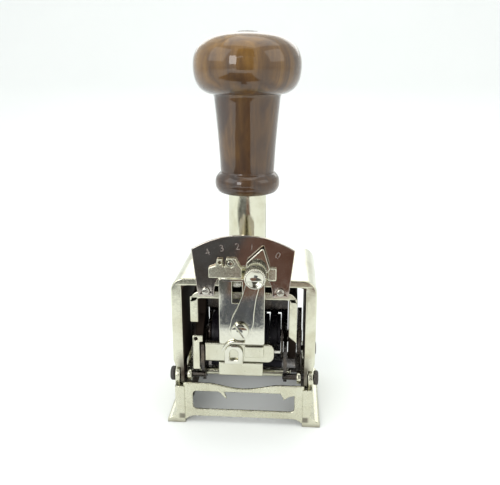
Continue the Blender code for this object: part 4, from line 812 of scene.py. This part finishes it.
def wheel_shapes(low, high, shown):
    """A wheel body, its ratchet, and ten figures wrapped round it: up the figure becomes angle."""
    rim = high - 1.15 * MM
    body = hollow_profile(9.45 * MM, BORE, low, rim, 0.25 * MM)
    tooth = np.linspace(0, 2 * math.pi, 200, endpoint=False)
    saw = (tooth * 10 / (2 * math.pi)) % 1.0
    reach = 8.9 * MM - 1.1 * MM * saw ** 1.1
    ratchet = np.stack([AXLE[1] + reach * np.cos(tooth), AXLE[2] + reach * np.sin(tooth)], axis=1)
    shapes = [turned_arrays(body, "X", axle_centre, 80), plate_arrays(ratchet, "X", rim - 0.1 * MM, high,
                                                                      0.1 * MM,
                                                                      [ring_outline(*axle_centre, BORE)])]
    middle = (low + rim) / 2
    for place in range(10):
        points, faces = FIGURES[(place + shown) % 10]
        angle = math.radians(-90) + place * math.radians(36) + points[:, 1] / (9.6 * MM)
        radius = 9.5 * MM + points[:, 2]
        wrapped = np.stack([middle + points[:, 0] * 0.92, AXLE[1] + radius * np.cos(angle),
                            AXLE[2] + radius * np.sin(angle)], axis=1)
        shapes.append((wrapped, faces))
    return shapes


for number, shown in enumerate((0, 0, 1, 4, 7, 2), start=1):
    low, high = where(f"number_wheel_{number}")
    wheel = new_piece(f"figure_wheel_{number}", *together(*wheel_shapes(low[0], high[0], shown)),
                      f"wheel_{number}", (f"number_wheel_{number}",), ink_black)
    wheel.data.set_sharp_from_angle(angle=math.radians(35))

# ----------------------------------------------------------------------
# Detent.  A steel rod behind the wheels carries a comb of flat springs, one for each wheel.
# ----------------------------------------------------------------------
rod_low, rod_high = where("detent_rod")
turned("comb_rod", solid_profile(1.3 * MM, rod_low[0], rod_high[0], 0.3 * MM), "X",
       middle_of("detent_rod")[1:], "plunger", blued_steel, ("detent_rod",), 32)
comb_low, comb_high = where("detent_comb")
STACK = 14.1 * MM


def comb_outline(half, stack, teeth, root, tip, back, lead, trail):
    """A comb: a straight back and one square tooth for each wheel of the stack."""
    points = [(-half, back), (-half, root)]
    pitch = 2 * stack / teeth
    for k in range(teeth):
        left = -stack + pitch * k
        points += [(left + lead, root), (left + lead, tip), (left + pitch - trail, tip),
                   (left + pitch - trail, root)]
    return np.array(points + [(half, root), (half, back)])


comb = comb_outline(comb_high[0], STACK, 6, comb_low[2] + 0.2 * MM, comb_low[2] - 0.3 * MM, comb_high[2],
                    0.5 * MM, 1.1 * MM)
sheet("spring_comb", "detent_comb", comb, 0.15 * MM, "plunger", blued_steel)

# ----------------------------------------------------------------------
# Back plate.  Blued sheet steel that closes the carriage behind the wheels, with a foot down each
# leg and a straight edge just clear of the wheel tops.
# ----------------------------------------------------------------------
guard_low, guard_high = where("back_plate")
guard_side = STACK + 0.7 * MM
guard_edge = AXLE[2] + math.sqrt((10.0 * MM) ** 2 - (guard_low[1] - AXLE[1]) ** 2) + 0.4 * MM
guard = [(guard_low[0], guard_high[2]), (guard_low[0], guard_low[2]), (-guard_side, guard_low[2]),
         (-guard_side, guard_edge), (guard_side, guard_edge), (guard_side, guard_low[2]),
         (guard_high[0], guard_low[2]), (guard_high[0], guard_high[2])]
sheet("wheel_guard", "back_plate", guard, 0.12 * MM, "plunger", blued_steel)

# ----------------------------------------------------------------------
# Dial plate.  Polished plate blackened by age to a dark mirror, arched at the top and notched for
# the mechanism, with engraved figures, held to the carriage by two screws.
# ----------------------------------------------------------------------
dial_mirror = metal("dial_mirror", (0.50, 0.46, 0.42), (0.36, 0.28, 0.22), (0.05, 0.13), scratch=(1, 1, 1),
                    depth=0.02)
engraving = metal("engraving", (0.56, 0.50, 0.46), (0.36, 0.30, 0.26), (0.22, 0.42))
dial_low, dial_high = where("dial_plate")
rise, half = 5.5 * MM, 19.0 * MM
dial_radius = (half ** 2 + rise ** 2) / (2 * rise)
sweep = math.degrees(math.asin(half / dial_radius))
crest = arc(0, dial_high[2] - dial_radius, dial_radius, 90 - sweep, 90 + sweep, 40)
notch = arc(0, 55.2 * MM, 10.8 * MM, 180, 0, 36)
dial_outline = np.vstack([[(10.8 * MM, dial_low[2]), (16.6 * MM, dial_low[2]),
                           (17.0 * MM, dial_low[2] + 0.5 * MM)], crest,
                          [(-17.0 * MM, dial_low[2] + 0.5 * MM), (-16.6 * MM, dial_low[2]),
                           (-10.8 * MM, dial_low[2])], notch])
dial_holes = [ring_outline(sign * 13.9 * MM, dial_low[2] + 2.2 * MM, 0.9 * MM, 20) for sign in (-1, 1)]
sheet("dark_dial", "dial_plate", dial_outline, 0.3 * MM, "plunger", dial_mirror,
      dial_holes)
PIVOT = middle_of("pivot_screw")[::2]
marks = []
for mark, lean in (("4", -22.5), ("3", -12.5), ("2", -2.0), ("1", 7.5), ("0", 25.5)):
    points, faces = figure_arrays(mark, 3.6 * MM, 0.04 * MM)
    turn = math.radians(-lean)
    reach = 31.6 * MM
    place = PIVOT + reach * np.array([math.sin(-turn), math.cos(turn)])
    x = place[0] + points[:, 0] * math.cos(turn) - points[:, 1] * math.sin(turn)
    z = place[1] + points[:, 0] * math.sin(turn) + points[:, 1] * math.cos(turn)
    marks.append((np.stack([x, dial_low[1] - 0.005 * MM - points[:, 2], z], axis=1), faces))
new_piece("dial_figures", *together(*marks), "plunger", (), engraving, smooth=False)
for side, sign in (("left", -1), ("right", 1)):
    low, high = where(f"dial_screw_{side}")
    centre = middle_of(f"dial_screw_{side}")[::2]
    dome = smooth_curve([(1.5 * MM, high[1]), (1.4 * MM, low[1] + 0.3 * MM), (0.8 * MM, low[1] + 0.06 * MM),
                         (0, low[1])], 12)
    screw = new_piece(f"dial_fixing_{side}", *turned_arrays(np.vstack([[(0, high[1])], dome]), "Y", centre,
                                                            36), "plunger", (f"dial_screw_{side}",),
                      bright_steel)
    nick = plate_arrays(rectangle(centre[0] - 2 * MM, centre[0] + 2 * MM, centre[1] - 0.2 * MM,
                                  centre[1] + 0.2 * MM), "Y", low[1] - 0.3 * MM, low[1] + 0.35 * MM,
                        NO_EDGE)
    cut_away(screw, [nick])
    screw.data.set_sharp_from_angle(angle=math.radians(35))

# ----------------------------------------------------------------------
# Front plate.  Polished plated sheet that holds the selector, with a window for a cross spring,
# a bent bridge and a stop above it, and a big slotted screw for the pointer to turn on.
# ----------------------------------------------------------------------
polished_nickel = metal("polished_nickel", (0.70, 0.69, 0.60), (0.58, 0.56, 0.44), (0.06, 0.15),
                        scratch=(1, 1, 0.05), depth=0.025)


def blank(name, node, ease, edge, body, material, holes=()):
    """An upright rectangular plate that fills a solid's box, with its corners eased."""
    low, high = where(node)
    outline = eased(rectangle(low[0], high[0], low[2], high[2]), ease)
    return sheet(name, node, outline, edge, body, material, holes)


front_window = eased(rectangle(-3.9 * MM, -0.2 * MM, 51.9 * MM, 60.5 * MM), 0.3 * MM)
blank("selector_plate", "front_plate", 1.0 * MM, 0.25 * MM, "plunger", polished_nickel,
      [front_window, ring_outline(*PIVOT, 1.8 * MM)])
small_low, small_high = where("slot_spring")
small_coil = helix("X", middle_of("slot_spring")[1:], 0.98 * MM, small_low[0] + 0.25 * MM,
                   small_high[0] - 0.25 * MM, 5.5)
new_piece("window_coil", *wire_arrays(small_coil, 0.22 * MM, (1, 0, 0), 8), "plunger", ("slot_spring",),
          bright_steel)
bridge_low, bridge_high = where("bridge")
top, base_line = bridge_high[2], bridge_low[2]
bridge_outline = eased(np.array([(bridge_low[0], base_line), (bridge_high[0], base_line),
                                 (bridge_high[0], base_line + 3.4 * MM), (-2.6 * MM, top), (-6.0 * MM, top),
                                 (-6.6 * MM, base_line + 4.4 * MM), (-7.2 * MM, base_line + 4.6 * MM),
                                 (-7.4 * MM, top - 0.3 * MM), (-9.4 * MM, top - 0.3 * MM),
                                 (-10.0 * MM, base_line + 4.8 * MM),
                                 (bridge_low[0], base_line + 3.9 * MM)]), 0.35 * MM)
stud_low, stud_high = where("bridge_stud")
stud_centre = middle_of("bridge_stud")[::2]
sheet("bent_bridge", "bridge", bridge_outline, 0.35 * MM, "plunger", sheet_nickel,
      [ring_outline(-8.4 * MM, base_line + 6.0 * MM, 0.62 * MM, 20),
       ring_outline(*stud_centre, 1.35 * MM, 24)])
turned("bridge_rivet", solid_profile(1.1 * MM, stud_low[1], stud_high[1], 0.35 * MM), "Y", stud_centre,
       "plunger", polished_nickel, ("bridge_stud",), 32)
blank("pointer_catch", "pointer_stop", 0.7 * MM, 0.4 * MM, "plunger", sheet_nickel)
leaf_centre = (PIVOT[0] - 1.2 * MM, PIVOT[1] - 10.9 * MM)
leaf = np.vstack([arc(*leaf_centre, 6.4 * MM, 62, 160, 28), arc(*leaf_centre, 5.7 * MM, 160, 62, 28)])
sheet("press_leaf", "leaf_spring", leaf, 0.15 * MM, "plunger", polished_nickel)
pivot_low, pivot_high = where("pivot_screw")
crown, seat = pivot_low[1], pivot_low[1] + 1.3 * MM
head_profile = [(0, crown), (2.7 * MM, crown), (3.15 * MM, crown + 0.25 * MM), (3.3 * MM, crown + 0.7 * MM),
                (3.3 * MM, seat), (1.5 * MM, seat), (1.5 * MM, pivot_high[1]), (0, pivot_high[1])]
pivot_screw = new_piece("slotted_screw", *turned_arrays(head_profile, "Y", PIVOT, 64), "plunger",
                        ("pivot_screw",), polished_nickel)
slant = math.radians(-57)
along = np.array([math.cos(slant), math.sin(slant)])
across = np.array([-along[1], along[0]])
groove = PIVOT + rectangle(-4 * MM, 4 * MM, -0.4 * MM, 0.4 * MM) @ np.array([along, across])
cut_away(pivot_screw, [plate_arrays(groove, "Y", pivot_low[1] - 0.5 * MM, pivot_low[1] + 0.75 * MM,
                                    NO_EDGE)])
pivot_screw.data.set_sharp_from_angle(angle=math.radians(30))

# ----------------------------------------------------------------------
# Pointer and selector.  A polished lever that turns on the screw, its arrow reading the dial, and
# a knurled knob that is pulled out against a spring to move it.
# ----------------------------------------------------------------------
LEAN = 14.6
tilt = math.radians(LEAN)
up_way = np.array([math.sin(tilt), math.cos(tilt)])
right_way = np.array([up_way[1], -up_way[0]])
flank = np.array([(3.6, 4.25), (8.0, 3.35), (13.6, 2.7), (19.4, 2.6), (23.8, 3.2), (25.3, 4.3),
                  (26.3, 4.3)]) * MM
right_side = PIVOT + flank[:, :1] * up_way + flank[:, 1:] * right_way
left_side = PIVOT + flank[:, :1] * up_way - flank[:, 1:] * right_way
point = PIVOT + 32.8 * MM * up_way
arrow = np.vstack([right_side, point + 0.35 * MM * right_way, point - 0.35 * MM * right_way,
                   left_side[::-1], arc(*PIVOT, 4.2 * MM, 90 - LEAN + 78, 90 - LEAN + 282, 30)])
sheet("arrow_lever", "pointer_lever", arrow, 0.28 * MM, "pointer", polished_nickel,
      [ring_outline(*PIVOT, 1.8 * MM)])
knob_low, knob_high = where("selector_knob")
face, rear = knob_low[1], knob_high[1]
knob_profile = np.array([(0, face + 1.05 * MM), (1.4 * MM, face + 1.0 * MM), (2.5 * MM, face + 0.65 * MM),
                         (3.0 * MM, face + 0.12 * MM), (3.25 * MM, face), (3.6 * MM, face + 0.1 * MM),
                         (3.9 * MM, face + 0.5 * MM), (4.0 * MM, face + 0.8 * MM),
                         (4.0 * MM, rear - 0.8 * MM), (3.9 * MM, rear - 0.4 * MM),
                         (3.5 * MM, rear - 0.05 * MM), (3.2 * MM, rear), (0, rear)])
turned("knurled_knob", knob_profile, "Y", middle_of("selector_knob")[::2], "selector", polished_nickel,
       ("selector_knob",), 192, knurl(32, 0.50 * MM, face + 0.2 * MM, rear - 0.3 * MM))

# ----------------------------------------------------------------------
# Feed linkage.  Two forked steel arms on the wheel shaft joined by a tie rod and a thick plated
# bar; the bar carries the pawl block, an arched lug, a cover, a side bracket and the feed pawl.
# ----------------------------------------------------------------------


def about_axle(reach, degrees):
    """A point of the side view, by its distance from the wheel shaft and its angle up from the front."""
    angle = math.pi - math.radians(degrees)
    return np.array([AXLE[1] + reach * math.cos(angle), AXLE[2] + reach * math.sin(angle)])


def fork_of(pin):
    """The straight slot of an arm for a fixed pin: the arm turns evenly as the axle drops, so the pin
    strays sideways by distance times the sine of the true angle less the even one."""
    drop = np.linspace(0, STROKE, 41)
    reach_y = abs(pin[0] - AXLE[1])
    rise = pin[1] - AXLE[2] + drop
    true = np.arctan2(rise, reach_y)
    even = true[0] + (true[-1] - true[0]) * np.linspace(0, 1, 41)
    stray = np.hypot(rise, reach_y) * np.sin(true - even)
    facing = np.sign(pin[0] - AXLE[1])
    way = np.array([facing * math.cos(true[0]), math.sin(true[0])])
    side = np.array([-facing * way[1], facing * way[0]])
    return way, side, axle_centre + side * (stray.max() + stray.min()) / 2, 1.55 * MM + np.ptp(stray) / 2


fork_way, fork_side, fork_middle, half_slot = fork_of(front_pin)


def at_fork(along, across):
    """A point of the front slot, measured along it and across it from its middle line."""
    return fork_middle + fork_way * along + fork_side * across


tie_low, tie_high = where("tie_rod")
rod_centre = middle_of("tie_rod")[1:]
tine, reach = half_slot + 1.9 * MM, 19.7 * MM
tip = math.sqrt(reach ** 2 - tine ** 2)
inner_end = 14.3 * MM
fork = np.vstack([at_fork(tip, half_slot), at_fork(tip, tine), about_axle(18.7 * MM, 4),
                  about_axle(18.7 * MM, 12), about_axle(8.9 * MM, 40),
                  arc(*axle_centre, 5.2 * MM, 110, -100, 30), about_axle(12.6 * MM, -56),
                  rod_centre + (0.3 * MM, -2.9 * MM), rod_centre + (-2.4 * MM, -1.7 * MM),
                  at_fork(tip, -tine), at_fork(tip, -half_slot), at_fork(inner_end, -half_slot),
                  at_fork(inner_end, half_slot)])
for side in ("left", "right"):
    low, high = where(f"swing_arm_{side}")
    plate(f"forked_arm_{side}", fork, "X", low[0], high[0], 0.2 * MM, "feed_swing", blued_steel,
          (f"swing_arm_{side}",), [ring_outline(*axle_centre, BORE),
                                   ring_outline(*rod_centre, 1.85 * MM, 24)])
rod_ends = eased([(0, tie_low[0]), (1.1 * MM, tie_low[0]), (1.55 * MM, tie_low[0] + 0.6 * MM),
                  (1.55 * MM, tie_high[0] - 0.6 * MM), (1.1 * MM, tie_high[0]), (0, tie_high[0])], 0.5 * MM,
                 closed=False)
turned("tie_bar", rod_ends, "X", rod_centre, "feed_swing", turned_nickel, ("tie_rod",), 36)
satin_nickel = metal("satin_nickel", (0.66, 0.65, 0.53), (0.50, 0.47, 0.34), (0.20, 0.29),
                     scratch=(0.06, 1, 1), depth=0.04, tarnish=(0.45, 0.95))
bar_low, bar_high = where("swing_bar")
bar_body = eased(rectangle(bar_low[0], bar_high[0] - 2.6 * MM, bar_low[2], bar_high[2]), 0.3 * MM)
bar_outline = np.vstack([bar_body[:5],
                         arc(bar_high[0] - 2.6 * MM, bar_low[2] + 2.6 * MM, 2.6 * MM, -90, 0, 8),
                         arc(bar_high[0] - 2.6 * MM, bar_high[2] - 2.6 * MM, 2.6 * MM, 0, 90, 8),
                         [(bar_low[0] + 0.3 * MM, bar_high[2]), (bar_low[0], bar_high[2] - 0.3 * MM)]])
sheet("feed_bar", "swing_bar", bar_outline, 0.5 * MM, "feed_swing", satin_nickel)
blank("feed_block", "pawl_block", 0.5 * MM, 0.35 * MM, "feed_swing", satin_nickel)
lug_low, lug_high = where("pawl_lug")
lug_x = (lug_low[0] + lug_high[0]) / 2
lug_z = lug_high[2] - 3.6 * MM
lug_outline = np.vstack([[(lug_x - 3.6 * MM, lug_low[2]), (lug_x + 3.6 * MM, lug_low[2])],
                         arc(lug_x, lug_z, 3.6 * MM, 0, 180, 28)])
lug_hole = np.vstack([[(lug_x - 1.7 * MM, 27.2 * MM), (lug_x + 1.7 * MM, 27.2 * MM)],
                      arc(lug_x, lug_z, 1.7 * MM, 0, 180, 18)])
sheet("arched_lug", "pawl_lug", lug_outline, 0.35 * MM, "feed_swing", polished_nickel,
      [lug_hole])
blank("pawl_shield", "pawl_cover", 0.6 * MM, 0.3 * MM, "feed_swing", satin_nickel)
side_low, side_high = where("side_bracket")
step_x = side_low[0] + 2.7 * MM
bracket = eased(np.array([(side_low[0], side_low[2]), (step_x, side_low[2]),
                          (step_x, side_high[2] - 2.7 * MM), (side_high[0], side_high[2] - 2.7 * MM),
                          (side_high[0], side_high[2]), (side_low[0], side_high[2])]), 0.4 * MM)
sheet("hook_bracket", "side_bracket", bracket, 0.3 * MM, "feed_swing", sheet_nickel,
      [ring_outline(-18.6 * MM, side_high[2] - 1.4 * MM, 0.75 * MM, 20)])
pawl_low, pawl_high = where("feed_pawl")
pawl = comb_outline(pawl_high[0], STACK, 6, pawl_low[1] + 1.2 * MM, pawl_high[1], pawl_low[1], 0.5 * MM,
                    1.1 * MM)
plate("pawl_comb", pawl, "Z", pawl_low[2], pawl_high[2], 0.2 * MM, "feed_swing", bright_steel,
      ("feed_pawl",))

# ----------------------------------------------------------------------
# Ink carrier.  Two blued arms with a fork each for the rear pins hold a bent steel tray, and in
# it lies a pad of thick felt soaked with black ink, which the wheels rest on.
# ----------------------------------------------------------------------
tray_low, tray_high = where("ink_tray")
tray_outer, tray_inner = 14.35 * MM, 13.25 * MM


def behind_axle(radius, degrees):
    """A point of the side view, by its distance from the wheel shaft and its angle up from the rear."""
    angle = math.radians(degrees)
    return np.array([AXLE[1] + radius * math.cos(angle), AXLE[2] + radius * math.sin(angle)])


ink_way, ink_side, ink_middle, ink_half = fork_of(rear_pin)


def at_ink(along, across):
    """A point of the rear slot, measured along it and across it from its middle line."""
    return ink_middle + ink_way * along + ink_side * across


ink_reach = float(np.hypot(*(rear_pin - axle_centre))) + 0.6 * MM
ink_tine = ink_half + 1.5 * MM
ink_fork = np.vstack([arc(*axle_centre, tray_outer, -114, -75.6, 16),
                      at_ink(ink_reach, -ink_tine),
                      at_ink(ink_reach, -ink_half),
                      at_ink(8.1 * MM, -ink_half),
                      at_ink(8.1 * MM, ink_half),
                      at_ink(ink_reach, ink_half),
                      at_ink(ink_reach, ink_tine),
                      at_ink(5.2 * MM, ink_tine), behind_axle(5.2 * MM, 10),
                      arc(*about_axle(11.4 * MM, 86), 1.5 * MM, 0, 180, 16), about_axle(5.2 * MM, 20),
                      about_axle(5.8 * MM, -20)])
for side in ("left", "right"):
    low, high = where(f"ink_arm_{side}")
    plate(f"pad_arm_{side}", ink_fork, "X", low[0], high[0], 0.25 * MM, "ink_carrier", blued_steel,
          (f"ink_arm_{side}",), [ring_outline(*axle_centre, BORE)])
tray = np.vstack([arc(*axle_centre, tray_outer, -114, -66, 24),
                  arc(*axle_centre, tray_inner, -66, -114, 24)])
plate("pad_tray", tray, "X", tray_low[0], tray_high[0], 0.2 * MM, "ink_carrier", blued_steel, ("ink_tray",))


def inked_felt(name):
    """Felt soaked with ink: matted fibres as fine twisted noise, black with a faint violet sheen."""
    material, shader = surface(name)
    links = material.node_tree.links
    fibres = grain_of(material, 1500.0, stretch=(0.35, 1, 1), detail=6.0, rough=0.75, twist=2.5)
    links.new(ramp_of(material, fibres, [(0.30, (0.006, 0.006, 0.010)), (0.75, (0.045, 0.040, 0.060))]),
              shader.inputs["Base Color"])
    shader.inputs["Roughness"].default_value = 0.92
    shader.inputs["Sheen Weight"].default_value = 0.35
    shader.inputs["Sheen Roughness"].default_value = 0.5
    bump = node_of(material, "ShaderNodeBump", Height=fibres, Strength=0.7, Distance=0.0003)
    links.new(bump.outputs["Normal"], shader.inputs["Normal"])
    return material


def felt_pad():
    """A bent block of felt on a grid of (angle, width), its height swelling with the product of two
    sines across the pad, pulled in at the edges and roughened by summed waves."""
    low, high = where("ink_pad")
    turns, widths = 40, 120
    s = np.linspace(0, 1, turns)[:, None]
    w = np.linspace(0, 1, widths)[None, :]
    angle = np.radians(-111 + 42 * s) + 0 * w
    x = low[0] + (high[0] - low[0]) * w + 0 * s
    edge = np.minimum(1, np.minimum(np.minimum(s, 1 - s) * 9, np.minimum(w, 1 - w) * 26))
    swell = np.sqrt(1 - (1 - edge) ** 2)
    weave = np.sin(x / (0.9 * MM) + 3 * s) * np.sin(angle * 31 + w * 7)
    weave = weave + np.sin(x / (0.37 * MM)) * np.sin(angle * 90)
    thickness = 1.75 * MM + 0.80 * MM * swell + 0.025 * MM * weave * edge
    outer = tray_inner - 0.3 * MM
    inner = np.maximum(outer - thickness, 10.36 * MM)
    top = np.stack([x, AXLE[1] + inner * np.cos(angle), AXLE[2] + inner * np.sin(angle)],
                   axis=2).reshape(-1, 3)
    under = np.stack([x, AXLE[1] + outer * np.cos(angle), AXLE[2] + outer * np.sin(angle)],
                     axis=2).reshape(-1, 3)
    count = turns * widths
    i, j = np.meshgrid(np.arange(turns - 1), np.arange(widths - 1), indexing="ij")
    a = (i * widths + j).ravel()
    quads = np.stack([a, a + 1, a + widths + 1, a + widths], axis=1)
    rim = np.concatenate([np.arange(widths - 1), widths * np.arange(1, turns) - 1,
                          count - 1 - np.arange(widths - 1), widths * np.arange(turns - 1, 0, -1)])
    after = np.roll(rim, -1)
    walls = np.stack([rim, rim + count, after + count, after], axis=1)
    return np.vstack([top, under]), (quads.tolist() + (quads[:, ::-1] + count).tolist() + walls.tolist())


pad = new_piece("felt_pad", *felt_pad(), "ink_carrier", ("ink_pad",), inked_felt("inked_felt"))

# ----------------------------------------------------------------------
# Studio.  A pale sweep, soft light from above and both sides, and dark cards on the floor in
# front that only gloss sees, which give the upright polished plates their dark reflections.
# ----------------------------------------------------------------------


def paper(name, colour, roughness=0.9):
    """Matt paper with a faint mottle."""
    material, shader = surface(name)
    shade = grain_of(material, 6.0, detail=2.0)
    stops = [(0.3, tuple(c * 0.985 for c in colour)), (0.7, colour)]
    material.node_tree.links.new(ramp_of(material, shade, stops), shader.inputs["Base Color"])
    shader.inputs["Roughness"].default_value = roughness
    return material


def sweep_floor():
    """A floor that turns up behind the object: flat, then a quarter circle, then a wall."""
    radius, back = 0.5, 0.7
    turn = np.linspace(0, math.pi / 2, 24)
    y = np.concatenate([[-2.5], back + radius * np.sin(turn), [back + radius]])
    z = np.concatenate([[0.0], radius * (1 - np.cos(turn)), [3.0]])
    x = np.array([-3.0, 3.0])
    grid = np.stack([np.repeat(x[None], len(y), 0), np.repeat(y[:, None], 2, 1),
                     np.repeat(z[:, None], 2, 1)], axis=2)
    i = np.arange(len(y) - 1) * 2
    return grid.reshape(-1, 3), np.stack([i, i + 1, i + 3, i + 2], axis=1).tolist()


def stage_piece(name, verts, faces, material):
    """A piece of the studio, which isn't part of the object."""
    mesh = bpy.data.meshes.new(name)
    mesh.from_pydata(np.asarray(verts).tolist(), [], faces)
    mesh.shade_smooth()
    mesh.materials.append(material)
    piece = bpy.data.objects.new(name, mesh)
    bpy.context.collection.objects.link(piece)
    return piece


stage_piece("floor_sweep", *sweep_floor(), paper("pale_paper", (0.86, 0.875, 0.87)))


def card(name, corners, colour):
    """A dark card that only mirror reflections see."""
    piece = stage_piece(name, corners, [[0, 1, 2, 3]], paper(name, colour))
    piece.visible_camera = False
    piece.visible_diffuse = False
    piece.visible_shadow = False


def upright(x0, x1, z0, z1):
    """The corners of a card that stands across the view, well in front of the object."""
    return [(x0, -0.80, z0), (x1, -0.80, z0), (x1, -0.80, z1), (x0, -0.80, z1)]


def lying(x0, x1, y0, y1, z):
    """The corners of a card that lies on the floor."""
    return [(x0, y0, z), (x1, y0, z), (x1, y1, z), (x0, y1, z)]


card("far_card", upright(-0.26, 0.24, 0.0, 0.50), (0.035, 0.030, 0.026))
card("high_card", upright(-0.30, 0.30, 0.52, 1.30), (0.05, 0.04, 0.03))
card("slate_card", lying(-0.30, -0.022, -0.50, -0.158, 0.0010), (0.035, 0.036, 0.038))
card("umber_card", lying(-0.022, 0.11, -0.50, -0.158, 0.0012), (0.115, 0.050, 0.030))
card("plate_card", lying(-0.026, 0.006, -0.157, -0.108, 0.0014), (0.05, 0.055, 0.075))


def lamp(name, place, target, size, power, colour):
    """A square soft box that faces a point of the object."""
    light = bpy.data.lights.new(name, "AREA")
    light.size = size
    light.energy = power
    light.color = colour
    holder = bpy.data.objects.new(name, light)
    bpy.context.collection.objects.link(holder)
    holder.location = place
    holder.rotation_euler = (Vector(target) - Vector(place)).to_track_quat("-Z", "Y").to_euler()
    return holder


back = lamp("back_box", (0.0, 0.95, 0.52), (0, 0.0, 0.40), 1.3, 2.0, (1.0, 1.0, 0.98))
back.data.shape = "RECTANGLE"
back.data.size_y = 0.40
lamp("front_box", (-0.35, -0.95, 0.42), (0, 0, 0.03), 0.5, 4.0, (1.0, 1.0, 1.0))
lamp("top_box", (0.05, 0.10, 0.95), (0, 0, 0.05), 0.9, 2.4, (1.0, 1.0, 0.98))
lamp("left_box", (-0.75, -0.35, 0.60), (0, 0, 0.06), 0.7, 1.6, (0.98, 1.0, 1.0))
lamp("right_box", (0.80, -0.30, 0.55), (0, 0, 0.06), 0.6, 1.2, (1.0, 0.99, 0.96))

world = bpy.data.worlds.new("pale_room")
bpy.context.scene.world = world
world.use_nodes = True
world.node_tree.nodes["Background"].inputs["Color"].default_value = (0.96, 0.985, 0.97, 1)
world.node_tree.nodes["Background"].inputs["Strength"].default_value = 0.93
bpy.context.scene.view_settings.view_transform = "Standard"

camera_data = bpy.data.cameras.new("camera")
camera_data.lens = 43.2
camera_data.sensor_width = 36.0
camera_data.clip_start = 0.01
camera = bpy.data.objects.new("camera", camera_data)
bpy.context.collection.objects.link(camera)
camera.location = (0.0174, -0.2254, 0.1359)
camera.rotation_euler = (math.radians(90 - 16.24), 0, math.radians(4.06))
bpy.context.scene.camera = camera

bpy.context.view_layer.update()
